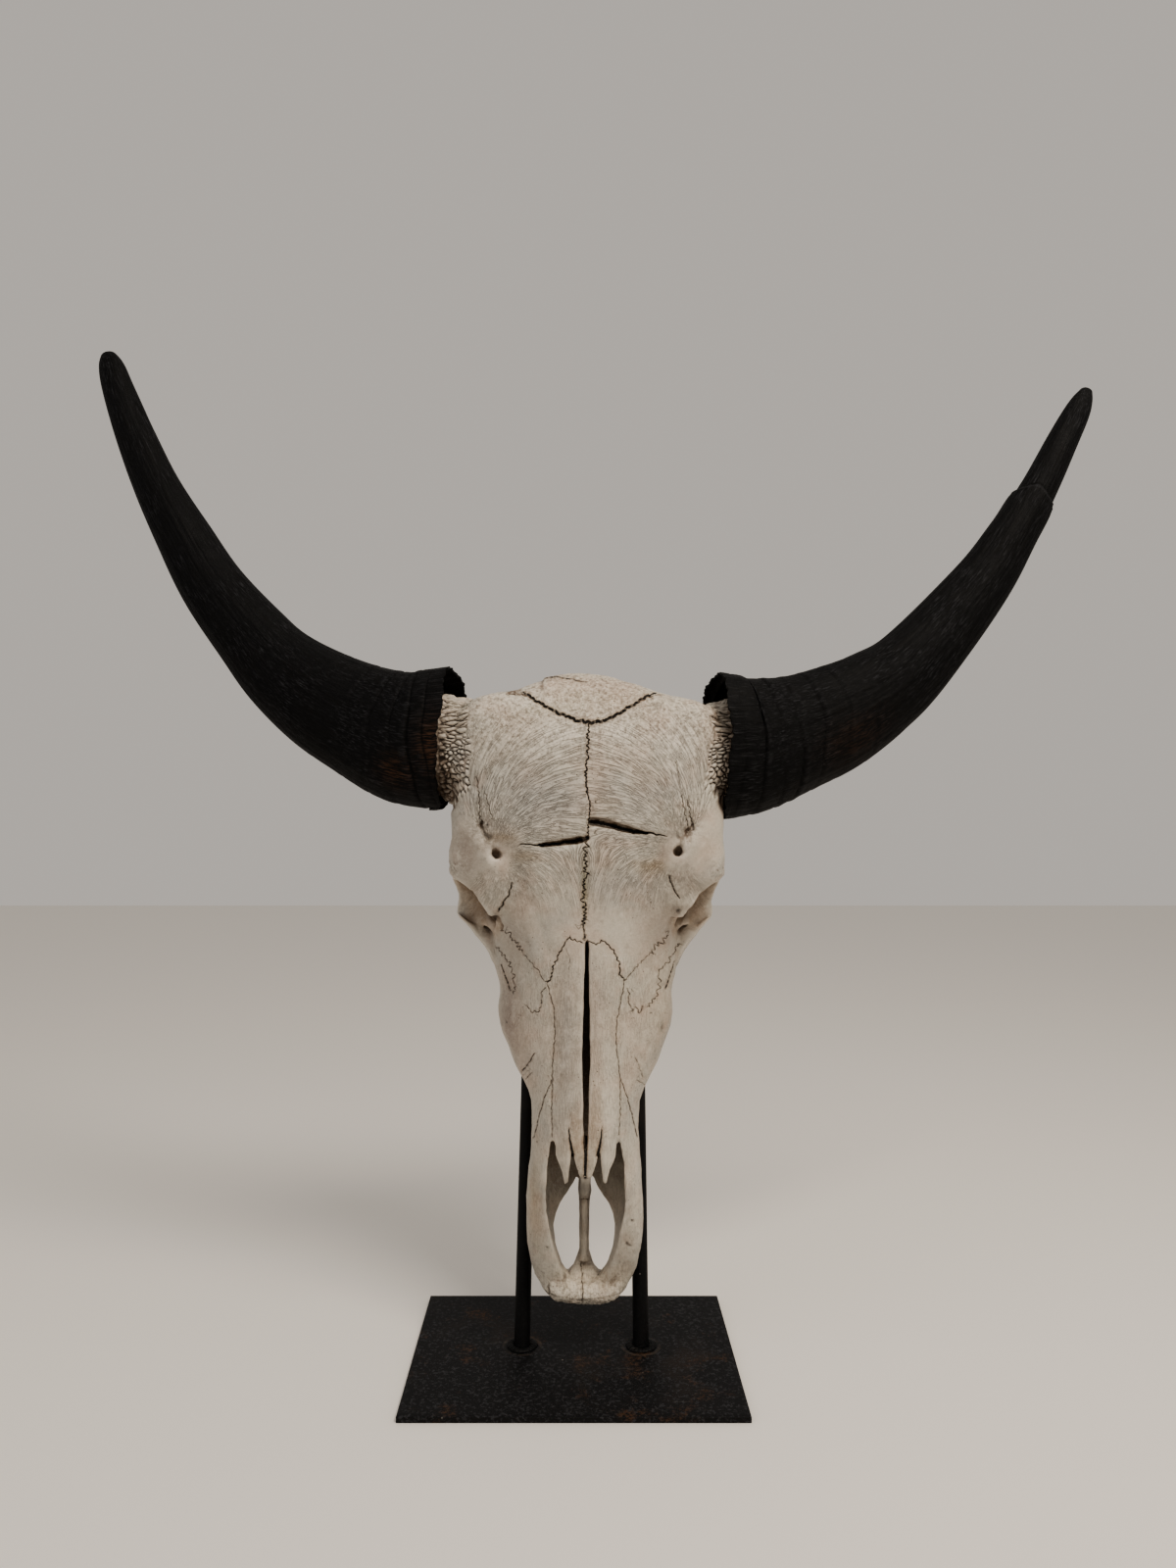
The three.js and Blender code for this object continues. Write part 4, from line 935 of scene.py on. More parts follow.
# Stains, bleached places and some painted highlights and painted shade: colour, strength, and a spot in the
# picture with its reach both ways.
STAINS_AND_PAINTED_LIGHT = [
    (BONE_OCHRE, 0.70, (512, 856), (15, 5)),
    (BONE_OCHRE, 0.45, (535, 874), (14, 6)),
    (BONE_OCHRE, 0.50, (666, 884), (17, 7)),
    (BONE_OCHRE, 0.35, (590, 1165), (12, 40)),
    (BONE_OCHRE, 0.30, (607, 1150), (9, 55)),
    (BONE_OCHRE, 0.35, (545, 1220), (6, 50)),
    (BONE_MAUVE, 0.70, (476, 868), (13, 36)),
    (BONE_MAUVE, 0.45, (532, 908), (13, 28)),
    (BONE_MAUVE, 0.35, (668, 926), (22, 30)),
    (BONE_MAUVE, 0.45, (700, 898), (12, 16)),
    (BONE_MAUVE, 0.45, (524, 955), (22, 30)),
    (BONE_MAUVE, 0.35, (670, 955), (20, 26)),
    (BONE_MAUVE, 0.85, (520, 1050), (14, 60)),
    (BONE_TAN, 0.35, (680, 1035), (22, 60)),
    (BONE_TAN, 0.40, (576, 1040), (13, 90)),
    (BONE_TAN, 0.15, (622, 1040), (13, 90)),
    (BONE_TAN, 0.50, (597, 715), (90, 34)),
    (BONE_MAUVE, 0.35, (578, 1080), (14, 90)),
    (BONE_MAUVE, 0.60, (597, 1212), (9, 13)),
    (BONE_OLIVE, 0.60, (596.5, 905), (3.2, 40)),
    (BONE_OLIVE, 0.35, (560, 722), (34, 5)),
    (BONE_WHITE, 0.45, (489, 858), (4, 12)),
    # Below the left hole over the eye: a painted highlight.
    (BONE_WHITE, 0.55, (505, 891), (5, 12)),
    (BONE_WHITE, 0.45, (705, 872), (6, 7)),
    (BONE_ROSY, 0.50, (513, 885), (4, 12)),
    (BONE_MAUVE, 0.55, (504, 866), (13, 9)),
    (BONE_MAUVE, 0.55, (695, 871), (13, 11)),
    # The pale crown: bleached bone with painted highlight.
    (BONE_WHITE, 0.55, (572, 745), (34, 16)),
    (BONE_WHITE, 0.55, (630, 748), (26, 14)),
    (BONE_WHITE, 0.20, (590, 722), (36, 9)),
    (BONE_WHITE, 0.50, (540, 716), (26, 8)),
    (BONE_WHITE, 0.40, (690, 760), (20, 26)),
    (BONE_ROSY, 0.70, (609, 790), (11, 46)),
    (BONE_ROSY, 0.65, (674, 737), (18, 11)),
    (BONE_ROSY, 0.60, (600, 698), (60, 7)),
    (BONE_ROSY, 0.55, (500, 722), (22, 7)),
    (BONE_ROSY, 0.60, (606, 1060), (9, 80)),
    (BONE_ROSY, 0.45, (535, 1065), (20, 40)),
    (BONE_GREY, 0.70, (540, 820), (46, 40)),
    (BONE_GREY, 0.55, (578, 1050), (10, 90)),
    (BONE_GREY, 0.40, (650, 820), (24, 20)),
    # Pale streaks down the right nose bone and jaw bar: painted highlights.
    (BONE_WHITE, 0.40, (621, 1120), (7, 70)),
    (BONE_WHITE, 0.45, (648, 1215), (7, 60)),
    # The jaw's tip, pale where it faces up: painted highlight.
    (BONE_WHITE, 0.85, (598, 1303), (32, 14)),
    (BONE_IVORY, 0.60, (598, 1306), (34, 15)),
    (BONE_WHITE, 0.50, (558, 1296), (12, 16)),
    (BONE_OCHRE, 0.25, (618, 1309), (9, 7)),
    # Brown in the two small furrows of the jaw's tip: painted shade.
    (SHADE_AND_DIRT_BROWN, 0.60, (571, 1308), (4, 5)),
    (SHADE_AND_DIRT_BROWN, 0.60, (623, 1307), (4, 5)),
    # The holes above the eyes are painted dark: painted shade.
    (PAINTED_HOLE_SHADE, 0.80, (505.2, 871.0), (3.4, 2.6)),
    (PAINTED_HOLE_SHADE, 0.95, (693.4, 867.4), (3.0, 3.4)),
]


def openness(points, normals, trees):
    """The share of the sky that each place sees, from rays spread over its outward half."""
    ways = np.random.default_rng(21).normal(size=(OPEN_RAYS, 3))
    ways /= np.linalg.norm(ways, axis=1, keepdims=True)
    seen = np.zeros(len(points))
    for i, (point, normal) in enumerate(zip(points, normals)):
        start = Vector(point + normal * OPEN_START)
        for way in ways:
            out = Vector(way + normal * 1.05).normalized()
            seen[i] += all(tree.ray_cast(start, out, OPEN_REACH)[0] is None for tree in trees)
    return seen / OPEN_RAYS


def in_sockets(points):
    """How far inside one of the two eye sockets each place lies."""
    head = in_head(points)
    head[:, 0] = np.abs(head[:, 0])
    rel = head - EYE_CENTRE
    forward = rel @ EYE_AXIS
    aside = np.linalg.norm(rel - forward[:, None] * EYE_AXIS, axis=1)
    return smooth_step(36 * MM, 30 * MM, aside) * smooth_step(14 * MM, 4 * MM, forward)


def bone_paint(points, where, front, sky):
    """The bone's colour: a mottled ground, stains, bleached places, painted highlights, and painted shade,
    with some dirt, in its hollows and holes.
    """
    named = (BONE_ROSY, BONE_GREY, SHADE_AND_DIRT_BROWN, PAINTED_HOLE_SHADE, SOCKET_BROWN)
    colours = {c: np.array(linear(c)[:3]) for c in named}
    paint = np.array(linear(BONE_CREAM)[:3]) * (1 + 0.05 * waves(points, 60 * MM, 31)[:, None])
    for colour, size, seed in ((BONE_ROSY, 45 * MM, 32), (BONE_GREY, 38 * MM, 33), (BONE_ROSY, 14 * MM, 34)):
        share = 0.5 * np.clip(waves(points, size, seed), 0, 1)[:, None]
        paint = paint + (colours[colour] - paint) * share
    for colour, strength, spot, reach in STAINS_AND_PAINTED_LIGHT:
        share = strength * front * np.exp(-(((where - spot) / reach) ** 2).sum(axis=1))
        paint += (np.array(linear(colour)[:3]) - paint) * share[:, None]
    socket = in_sockets(points)[:, None]
    # Where the bone sees little sky it is painted brown: painted shade, with some dirt; less of it inside the
    # eye sockets.
    shade_and_dirt = 0.85 * smooth_step(0.4, 0.95, 1 - sky)[:, None] * (1 - 0.75 * socket)
    paint += (colours[SHADE_AND_DIRT_BROWN] - paint) * shade_and_dirt
    paint = paint + (colours[SOCKET_BROWN] - paint) * 0.65 * socket
    # Pits and notches are painted dark: painted shade.
    for place, depth, reach in PITS:
        gap = np.hypot(*(where - place).T)
        dark = 0.9 * smooth_step(*PIT_DEPTH, points[:, 1]) * np.exp(-((gap / reach) ** 2))
        paint = paint + (colours[PAINTED_HOLE_SHADE] - paint) * dark[:, None]
    return paint


points = points_of(skull)
edges = edges_of(skull)
normals = normals_of(skull)
where = in_picture(points)
facing = facing_eye(points, normals, cad_skull_tree)
front = smooth_step(*FRONT_RANGE, relaxed(facing, edges, 3)[:, 0])
for i, group in enumerate(seam_notes(where, facing)[0]):
    note(skull, f"seam_{i}", group)
shade_trees = [cad_skull_tree]
for side in ("left", "right"):
    shade = copy_of_node(f"horn_sheath_{side}", "shade")
    shade_trees.append(tree_of(shade))
    bpy.data.objects.remove(shade)
sky = relaxed(openness(points, normals, shade_trees), edges, 3)[:, 0]
on_burr = burr_share(points)
note(skull, "burr", on_burr)
note(skull, "wrinkle", wrinkle_notes(where, front, on_burr))
rough_zone = np.maximum(smooth_step(795, 740, where[:, 1]), smooth_step(1285, 1320, where[:, 1]))
note(skull, "rough", np.maximum(rough_zone, crags(where) * front) * (1 - on_burr))
note(skull, "paint", bone_paint(points, where, front, sky))
only(skull)
bpy.ops.object.shade_smooth()

DIRT_AND_SHADE_DARK = "#140e09"
CREASE_SHADE_DARK = "#261c14"
FURROW_BROWN = "#4b3c2e"
CHALK_AND_HIGHLIGHT_WHITE = "#efe9dd"
SEAM_OCHRE = "#7d6038"


def dry_bone():
    """Weathered skull bone: matt and fibrous, pale with painted highlights on its ridges, with painted shade
    and some dirt in its hollows.
    """
    bone = finish_named("dry_bone", Roughness=0.62, Specular_IOR_Level=0.4)
    place = add(bone, "TexCoord", out="Object")
    paint = add(bone, "Attribute", out="Vector", attribute_name="paint")
    fibre = add(bone, "Attribute", out="Vector", attribute_name="wrinkle")
    rough = add(bone, "Attribute", out="Fac", attribute_name="rough")
    hollow = add(bone, "Attribute", out="Fac", attribute_name="hollow")
    burr = add(bone, "Attribute", out="Fac", attribute_name="burr")
    strength = add(bone, "SeparateXYZ", {0: fibre}, "Z")
    # Wrinkles: furrows run where a stretched noise passes its middle, 2 to 3 mm apart and six times as long.
    drawn = add(bone, "Mapping", {"Vector": fibre, "Scale": (1, 0.17, 0)})
    thread = add(
        bone, "TexNoise", {"Vector": drawn, "Scale": 0.5, "Detail": 3, "Roughness": 0.5, "Distortion": 0.5}
    )
    patchy = add(bone, "TexNoise", {"Vector": place, "Scale": 38, "Detail": 3})
    broken = add(bone, "TexNoise", {"Vector": place, "Scale": 110, "Detail": 2})
    showing = fade(bone, {0: broken, 1: 0.35, 2: 0.55, 3: 0.55, 4: 1.0})
    showing = add(bone, "Math", {0: showing, 1: strength}, operation="MULTIPLY")
    middling = add(bone, "Math", {0: thread, 1: 0.5}, operation="PINGPONG")
    furrow = fade(bone, {0: middling, 1: 0.462, 2: 0.494, 4: showing})
    ridge = fade(bone, {0: middling, 1: 0.46, 2: 0.38, 4: showing})
    # A sugary roughness of about 2 mm, a grain of under a millimetre, and pores in a few places.
    sugar = add(bone, "TexNoise", {"Vector": place, "Scale": 430, "Detail": 4, "Roughness": 0.65})
    sugary = add(bone, "MapRange", {0: rough, 3: 0.22, 4: 1.0})
    grain = add(bone, "TexNoise", {"Vector": place, "Scale": 1150, "Detail": 2})
    pores = add(bone, "TexVoronoi", {"Vector": place, "Scale": 260})
    pore_zone = fade(bone, {0: patchy, 1: 0.5, 2: 0.62, 4: 0.8})
    pore = fade(bone, {0: pores, 1: 0.16, 2: 0.08, 4: pore_zone})
    # Colour, from the tone in the paint attribute: painted shade in the furrows, painted highlight on the
    # ridges.
    mottle = add(bone, "TexNoise", {"Vector": place, "Scale": 110, "Detail": 5, "Roughness": 0.6})
    dark = mixed(bone, 0.6, paint, linear(FURROW_BROWN))
    faint = add(bone, "Math", {0: furrow, 1: 0.75}, operation="MULTIPLY")
    light = mixed(bone, 0.5, paint, linear(CHALK_AND_HIGHLIGHT_WHITE))
    dull = fade(bone, {0: mottle, 1: 0.52, 2: 0.75, 4: 0.35})
    colour = mixed(bone, dull, paint, dark)
    bleached = fade(bone, {0: mottle, 1: 0.46, 2: 0.28, 4: 0.4})
    colour = mixed(bone, bleached, colour, light)
    colour = mixed(bone, faint, colour, dark)
    ridge_light = add(bone, "Math", {0: ridge, 1: 0.25}, operation="MULTIPLY")
    colour = mixed(bone, ridge_light, colour, light)
    # Pale sugary grains, partly painted glints, and darker grains between.
    bright = fade(bone, {0: sugar, 1: 0.52, 2: 0.66, 4: sugary})
    colour = mixed(bone, bright, colour, light)
    dim = fade(bone, {0: sugar, 1: 0.47, 2: 0.34, 4: sugary})
    colour = mixed(bone, dim, colour, dark)
    # On the rough crown and jaw tip pale grains, partly painted glints, gather in clumps of about 4 mm on a
    # tan ground.
    clump = add(bone, "TexNoise", {"Vector": place, "Scale": 260, "Detail": 4, "Roughness": 0.7})
    clumped = add(bone, "Math", {0: rough, 1: 0.8}, operation="MULTIPLY")
    pale = fade(bone, {0: clump, 1: 0.5, 2: 0.64, 4: clumped})
    colour = mixed(bone, pale, colour, light)
    tan = fade(bone, {0: clump, 1: 0.48, 2: 0.36, 4: clumped})
    colour = mixed(bone, tan, colour, dark)
    speckle = fade(bone, {0: grain, 1: 0.45, 2: 0.7, 4: 0.22})
    colour = mixed(bone, speckle, colour, light)
    # Hollows are darkened: painted shade, with some dirt. Convex edges are worn pale.
    sunk = fade(bone, {0: hollow, 1: 0.15, 2: 0.8, 4: 0.7})
    colour = mixed(bone, sunk, colour, dark)
    worn = fade(bone, {0: hollow, 1: -0.12, 2: -0.8, 4: 0.5})
    colour = mixed(bone, worn, colour, light)
    colour = mixed(bone, pore, colour, linear(FURROW_BROWN))
    # The creases between the beads of the horn bases are darkened: painted shade.
    crease = fade(bone, {0: hollow, 1: 0.2, 2: 0.9, 4: burr})
    crease = add(bone, "Math", {0: crease, 1: 0.9}, operation="MULTIPLY")
    colour = mixed(bone, crease, colour, linear(CREASE_SHADE_DARK))
    # Seams: a dark thread of old dirt with an uneven edge, and a faint ochre stain beside it. In the open
    # cracks and slits the black thread is painted shade.
    wiggle = add(bone, "TexNoise", {"Vector": place, "Scale": 800, "Detail": 2})
    carved = 0.0
    for i in range(SEAM_GROUPS):
        seam = add(bone, "Attribute", out="Vector", attribute_name=f"seam_{i}")
        off_line = add(bone, "SeparateXYZ", {0: seam}, "X")
        run = add(bone, "SeparateXYZ", {0: seam}, "Y")
        shown = add(bone, "SeparateXYZ", {0: seam}, "Z")
        shifted = add(bone, "Math", {0: wiggle, 1: 1.0, 2: off_line}, operation="MULTIPLY_ADD")
        gap = add(bone, "Math", {0: shifted, 1: 0.5}, operation="SUBTRACT")
        gap = add(bone, "Math", {0: gap}, operation="ABSOLUTE")
        uneven = add(bone, "TexNoise", {"W": run, "Scale": 0.3, "Detail": 3}, noise_dimensions="1D")
        uneven = add(bone, "MapRange", {0: uneven, 1: 0.35, 2: 0.6, 3: 0.35, 4: 1.0})
        shown = add(bone, "Math", {0: uneven, 1: shown}, operation="MULTIPLY", use_clamp=True)
        stain = fade(bone, {0: gap, 1: 3.2, 2: 0.8, 4: shown})
        stain = add(bone, "Math", {0: stain, 1: 0.3}, operation="MULTIPLY")
        colour = mixed(bone, stain, colour, linear(SEAM_OCHRE))
        thread = fade(bone, {0: gap, 1: 1.15, 2: 0.6, 4: shown})
        colour = mixed(bone, thread, colour, linear(DIRT_AND_SHADE_DARK))
        carved = add(bone, "Math", {0: carved, 1: thread}, operation="MAXIMUM")
    height = add(bone, "Math", {0: ridge, 1: furrow}, operation="SUBTRACT")
    grit = add(bone, "Math", {0: sugar, 1: sugary}, operation="MULTIPLY")
    height = add(bone, "Math", {0: grit, 1: 1.6, 2: height}, operation="MULTIPLY_ADD")
    height = add(bone, "Math", {0: grain, 1: 0.25, 2: height}, operation="MULTIPLY_ADD")
    height = add(bone, "Math", {0: pore, 1: -0.6, 2: height}, operation="MULTIPLY_ADD")
    height = add(bone, "Math", {0: carved, 1: -1.5, 2: height}, operation="MULTIPLY_ADD")
    bump = add(bone, "Bump", {"Height": height, "Strength": 0.9, "Distance": 0.6 * MM})
    surface_of(bone, Base_Color=colour, Normal=bump)
    return bone


finish_piece(skull, dry_bone(), "bone", "skull")

# Cheek teeth
# Six grinding teeth a side stand in the jaw's edge: enamel over dentine, cream with brown stain in the
# upright furrows of their sides and in the crescent hollows of their worn faces.
TOOTH_NAMES = [f"{kind}_{i}" for kind in ("premolar", "molar") for i in (1, 2, 3)]
TOOTH_VOXEL = 0.8 * MM
TOOTH_SLIMMING = 0.35 * MM
CRESCENT_OUT = 4 * MM
CRESCENT_BOW = 5 * MM
CRESCENT_WIDTH = 1.4 * MM
CRESCENT_DEPTH = 1.3 * MM
FURROW_DEPTH = 0.35 * MM
TOOTH_UP = np.array([0, -math.cos(ROD_LEAN), math.sin(ROD_LEAN)])
ROW_WAY = np.array([0, math.sin(ROD_LEAN), math.cos(ROD_LEAN)])
ENAMEL_CREAM = "#c8bda4"
ENAMEL_YELLOW = "#a08e6c"
ENAMEL_STAIN = "#4f3e2a"


def tooth_enamel():
    """Worn tooth: glossy cream enamel, brown stain in the furrows and matt dentine where it is ground off."""
    enamel = finish_named("tooth_enamel", Roughness=0.35, IOR=1.6)
    place = add(enamel, "TexCoord", out="Object")
    hollow = add(enamel, "Attribute", out="Fac", attribute_name="hollow")
    cloud = add(enamel, "TexNoise", {"Vector": place, "Scale": 140, "Detail": 4})
    drawn = add(enamel, "Mapping", {"Vector": place, "Scale": (900, 160, 900)})
    lines = add(enamel, "TexNoise", {"Vector": drawn, "Scale": 1.0, "Detail": 3})
    yellow = fade(enamel, {0: cloud, 1: 0.4, 2: 0.75})
    colour = mixed(enamel, yellow, linear(ENAMEL_CREAM), linear(ENAMEL_YELLOW))
    streak = fade(enamel, {0: lines, 1: 0.5, 2: 0.7, 4: 0.45})
    colour = mixed(enamel, streak, colour, linear(ENAMEL_STAIN))
    sunk = fade(enamel, {0: hollow, 1: 0.05, 2: 0.5})
    colour = mixed(enamel, sunk, colour, linear(ENAMEL_STAIN))
    bump = add(enamel, "Bump", {"Height": lines, "Strength": 0.4, "Distance": 0.2 * MM})
    surface_of(enamel, Base_Color=colour, Normal=bump)
    return enamel


def shape_tooth(tooth, number, lobes):
    """Gives a tooth the upright furrows of its sides and a crescent hollow in each lobe of its worn face."""
    edges = edges_of(tooth)
    points = relaxed(points_of(tooth), edges, 10)
    put_points(tooth, points)
    normals = normals_of(tooth)
    rel = points - (points.min(axis=0) + points.max(axis=0)) / 2
    row = rel @ ROW_WAY
    half = np.abs(row).max()
    grinding = smooth_step(0.5, 0.9, -(normals @ TOOTH_UP))
    phase = (row / half + 1) / 2 * lobes % 1 - 0.5
    off_crescent = np.abs(rel[:, 0]) - CRESCENT_OUT + CRESCENT_BOW * phase**2
    crescent = np.exp(-((off_crescent / CRESCENT_WIDTH) ** 2))
    furrows = np.sin(row / half * math.pi * (1.5 + lobes) + number)
    lift = -CRESCENT_DEPTH * crescent * grinding + FURROW_DEPTH * furrows * (1 - grinding) - TOOTH_SLIMMING
    moved = points + normals * lift[:, None]
    put_points(tooth, moved)
    hollow = np.einsum("ij,ij->i", relaxed(moved, edges, 8) - moved, normals)
    note(tooth, "hollow", np.clip(hollow / (0.25 * MM), -1, 1))


enamel_finish = tooth_enamel()
for side in ("left", "right"):
    for number, tooth_name in enumerate(TOOTH_NAMES):
        tooth = copy_of_node(f"{tooth_name}_{side}", f"enamel_{tooth_name}_{side}")
        apply_modifier(tooth, "REMESH", mode="VOXEL", voxel_size=TOOTH_VOXEL)
        shape_tooth(tooth, number, 2 if tooth_name.startswith("molar") else 1)
        only(tooth)
        bpy.ops.object.shade_smooth()
        finish_piece(tooth, enamel_finish, "tooth", f"{tooth_name}_{side}")

# Horn sheaths
# Black keratin sheaths, grown in layers from the root: fine fibres run their length, growth folds cross
# them near the ragged mouth, and outer layers have flaked off near the tips. They slip over bone cores.
# Each centre line runs from mouth to tip in the skull's own frame: x, y, z and radius in mm.
HORN_LINES = {
    "left": [
        (-115, 11, 544, 61.5), (-134, 14, 543, 61), (-163, 19, 545, 58), (-203, 26, 560, 50.5),
        (-240, 30, 579, 45.5), (-277, 34, 606, 39.5), (-306, 37, 637, 34.5), (-343, 40, 682, 28.8),
        (-371, 43, 728, 25), (-397, 46, 774, 21.2), (-418, 49, 820, 17.8), (-436, 51, 866, 14.1),
        (-444, 53, 890, 11.2), (-448, 54, 903, 5.5),
    ],
    "right": [
        (112, 11, 538, 63.5), (125, 13, 538, 62.5), (147, 18, 540, 59), (187, 25, 551, 51.5),
        (223, 29, 565, 47.6), (260, 32, 586, 41.8), (296, 35, 615, 36), (358, 41, 687, 27),
        (389, 44, 733, 22.7), (416, 47, 779, 19), (439, 49, 825, 15.4), (452, 51, 850, 12.8),
        (459, 53, 864, 9.5), (464, 54, 875, 4.5),
    ],
}
SHEATH_WALL = 5 * MM
EDGE_WALL = 2.2 * MM
HOLLOW_SHARE = 0.56
OUTER_ROWS = 240
INNER_ROWS = 60
HORN_AROUND = 180
MOUTH_REACH = 0.06  # the share of the horn over which the mouth's slant and ragged edge die out
# How far the mouth's edge lies out along the horn on the face side, from its top to its underside, in mm.
MOUTH_SLANT = {"left": (-3, 0, 4, 9, 11), "right": (-5, -8, -7, -5, 2)}
UNDERSIDE_SLIDE = {"left": 24, "right": 5}  # and the least that it lies out at the underside and behind it
# Growth folds: distance from the mouth, depth and slant, in mm.
FOLDS = {
    "left": [(14, 0.7, 2), (27, 1.1, 3), (44, 0.8, 5), (63, 0.7, 7), (88, 0.5, 8), (120, 0.35, 9)],
    "right": [
        (9, 0.5, 2), (26, 1.3, 2), (43, 1.0, 9), (60, 1.2, 13), (83, 0.8, 15), (108, 0.6, 17), (135, 0.4, 18)
    ],
}
LIP_SHARE = 0.668  # the right horn's outer layer ends here
TIP_START = 0.985  # the share of the horn from which its end is rounded off
TIP_SPAN = 0.0152
SHEATH_MERGE = 0.005 * MM
FIBRE_DRAW = 20  # how many times longer than wide the fibres' pattern is drawn


def horn_path(side, shares):
    """Centre, way along, up and face vectors and radius of one horn, at shares from mouth (0) to tip (1)."""
    line = np.array(HORN_LINES[side], float) * MM
    knots = np.linspace(0, 1, len(line))
    slope = np.gradient(line, knots, axis=0)
    k = np.clip(np.searchsorted(knots, shares, side="right") - 1, 0, len(line) - 2)
    span = knots[1]
    t = ((shares - knots[k]) / span)[:, None]
    row = line[k] * (2 * t**3 - 3 * t**2 + 1) + slope[k] * span * (t**3 - 2 * t**2 + t)
    row += line[k + 1] * (3 * t**2 - 2 * t**3) + slope[k + 1] * span * (t**3 - t**2)
    centre, radius = row[:, :3], row[:, 3]
    along = np.gradient(centre, axis=0) * np.sign(shares[-1] - shares[0])
    along /= np.linalg.norm(along, axis=1, keepdims=True)
    up = np.cross((0, -1, 0), along) * np.sign(line[0, 0])
    up /= np.linalg.norm(up, axis=1, keepdims=True)
    face = np.cross(up, along)
    face *= -np.sign(face[:, 1:2]) / np.linalg.norm(face, axis=1, keepdims=True)
    return centre, along, up, face, radius


def way_from_mouth(side, shares):
    """The distance in metres from the mouth to each share of the horn."""
    fine = np.linspace(0, 1, 800)
    steps = np.linalg.norm(np.diff(horn_path(side, fine)[0], axis=0), axis=1)
    return np.interp(shares, fine, np.concatenate([[0], np.cumsum(steps)]))


def fold_depths(side, way, angle):
    """How deep the growth folds lie in mm, below 0 where they swell, at a way from the mouth in mm."""
    deep = 0.0
    for distance, depth, slant in FOLDS[side]:
        bent = slant * np.sin(angle + 0.6) + 1.6 * np.sin(3 * angle + distance)
        bent = bent + 0.7 * np.sin(7 * angle + distance)
        off = way - distance - bent
        strong = 0.75 + 0.35 * np.sin(2 * angle + distance)
        deep = deep + depth * strong * (np.exp(-((off / 1.3) ** 2)) - 0.6 * np.exp(-(((off - 4) / 3.2) ** 2)))
    return deep


def past_lip(side, share, angle):
    """How far past the outer layer's ragged end a place lies, in shares. The left horn's layer is whole."""
    if side == "left":
        return share - 2.0 + 0 * angle
    return share - LIP_SHARE - 0.016 * np.cos(angle) - 0.003 * np.sin(angle) - 0.002 * np.sin(5 * angle)


def outer_reach(side, shares, angle):
    """The sheath's outer radius with folds, fibres and flaked layers. Rows are shares, columns angles."""
    radius = horn_path(side, shares)[4][:, None]
    way = way_from_mouth(side, shares)[:, None]
    share = shares[:, None]
    draw = np.random.default_rng(4 if side == "left" else 9)
    reach = radius * (1 + 0.08 * np.maximum(0, 1 - 1.5 * share) * np.cos(3 * (angle - math.pi / 3)))
    reach = reach - fold_depths(side, way / MM, angle) * MM
    rings = np.sin(way / (2.4 * MM) * 2 * math.pi + 2.5 * np.sin(2 * angle) + 3 * np.sin(way / (17 * MM)))
    reach = reach + 0.09 * MM * rings * np.exp(-way / (60 * MM))
    thick = np.clip(radius / (30 * MM), 0.2, 1)
    for count, height in ((13, 0.16), (29, 0.14), (47, 0.12)):
        wander = 2.2 * np.sin(way / ((60 + 40 * draw.uniform()) * MM) + draw.uniform(0, 6))
        reach = reach + height * MM * thick * np.sin(count * angle + wander + draw.uniform(0, 6))
    reach = reach + 0.5 * MM * thick * np.sin(way / (31 * MM) + 2 * angle + 1)
    if side == "right":
        past = past_lip(side, share, angle)
        beyond = smooth_step(-0.002, 0.002, past)
        swell = np.exp(-(((past + 0.01) / 0.018) ** 2)) * (1 - beyond)
        fade = np.clip((1 - share) / 0.3, 0, 1)
        return reach + 0.7 * MM * swell - 2.3 * MM * beyond * fade
    # A flake has come off the left horn's upper side, a hand's breadth below the tip.
    flake = np.exp(-(((share - 0.79) / 0.012) ** 2)) * np.exp(6 * (np.cos(angle - 0.9) - 1))
    return reach - 1.3 * MM * flake


def mouth_slide(side, angle):
    """How far the mouth's edge slides along the horn at each angle: slanted, and ragged with torn fibres."""
    draw = np.random.default_rng(44 if side == "left" else 49)
    slant = np.interp(-np.sin(angle), (-0.8, -0.3, 0, 0.5, 0.9), MOUTH_SLANT[side])
    ahead = smooth_step(-0.5, 0.3, np.cos(angle))
    under = smooth_step(-0.86, -0.97, np.sin(angle))
    behind = smooth_step(-0.3, -0.8, np.sin(angle)) * (1 - ahead)
    slide = np.maximum(slant * ahead, UNDERSIDE_SLIDE[side] * np.maximum(under, behind))
    slide = slide + 1.2 * np.sin(5 * angle + 1) + 0.8 * np.sin(9 * angle)
    for count in (23, 37, 59):
        slide = slide + draw.uniform(0.3, 0.7) * np.sin(count * angle + draw.uniform(0, 6))
    return slide * MM


def horn_rows(side, shares, angle, reach):
    """Points round the horn, row by row, in the row frame."""
    centre, along, up, face, _ = horn_path(side, shares)
    slide = mouth_slide(side, angle) * np.clip(1 - shares / MOUTH_REACH, 0, 1)[:, None]
    squash = (0.95 + 0.05 * shares)[:, None]
    head = centre[:, None] + face[:, None] * (reach * np.cos(angle) * squash)[:, :, None]
    head = head + up[:, None] * (reach * np.sin(angle))[:, :, None] + along[:, None] * slide[:, :, None]
    head = head.reshape(-1, 3)
    made = head.copy()
    made[:, 0] += HEAD_MIDDLE_X + HEAD_ROLL * head[:, 2]
    made[:, 2] -= HEAD_ROLL * head[:, 0]
    return made


def rust_share(side, way, angle):
    """Where the brown underlayer of the horn shows through: on the face side, close to the mouth."""
    rise = np.sin(angle)
    ahead = smooth_step(-0.1, 0.4, np.cos(angle))
    if side == "left":
        near = np.exp(-(((way - 9) / 12) ** 2) - ((rise + 0.1) / 0.34) ** 2)
        second = np.exp(-(((way - 38) / 11) ** 2) - ((rise + 0.5) / 0.18) ** 2)
        return ahead * np.maximum(near, 0.8 * second)
    return ahead * 0.3 * np.exp(-(((way - 115) / 30) ** 2) - ((rise + 0.45) / 0.35) ** 2)


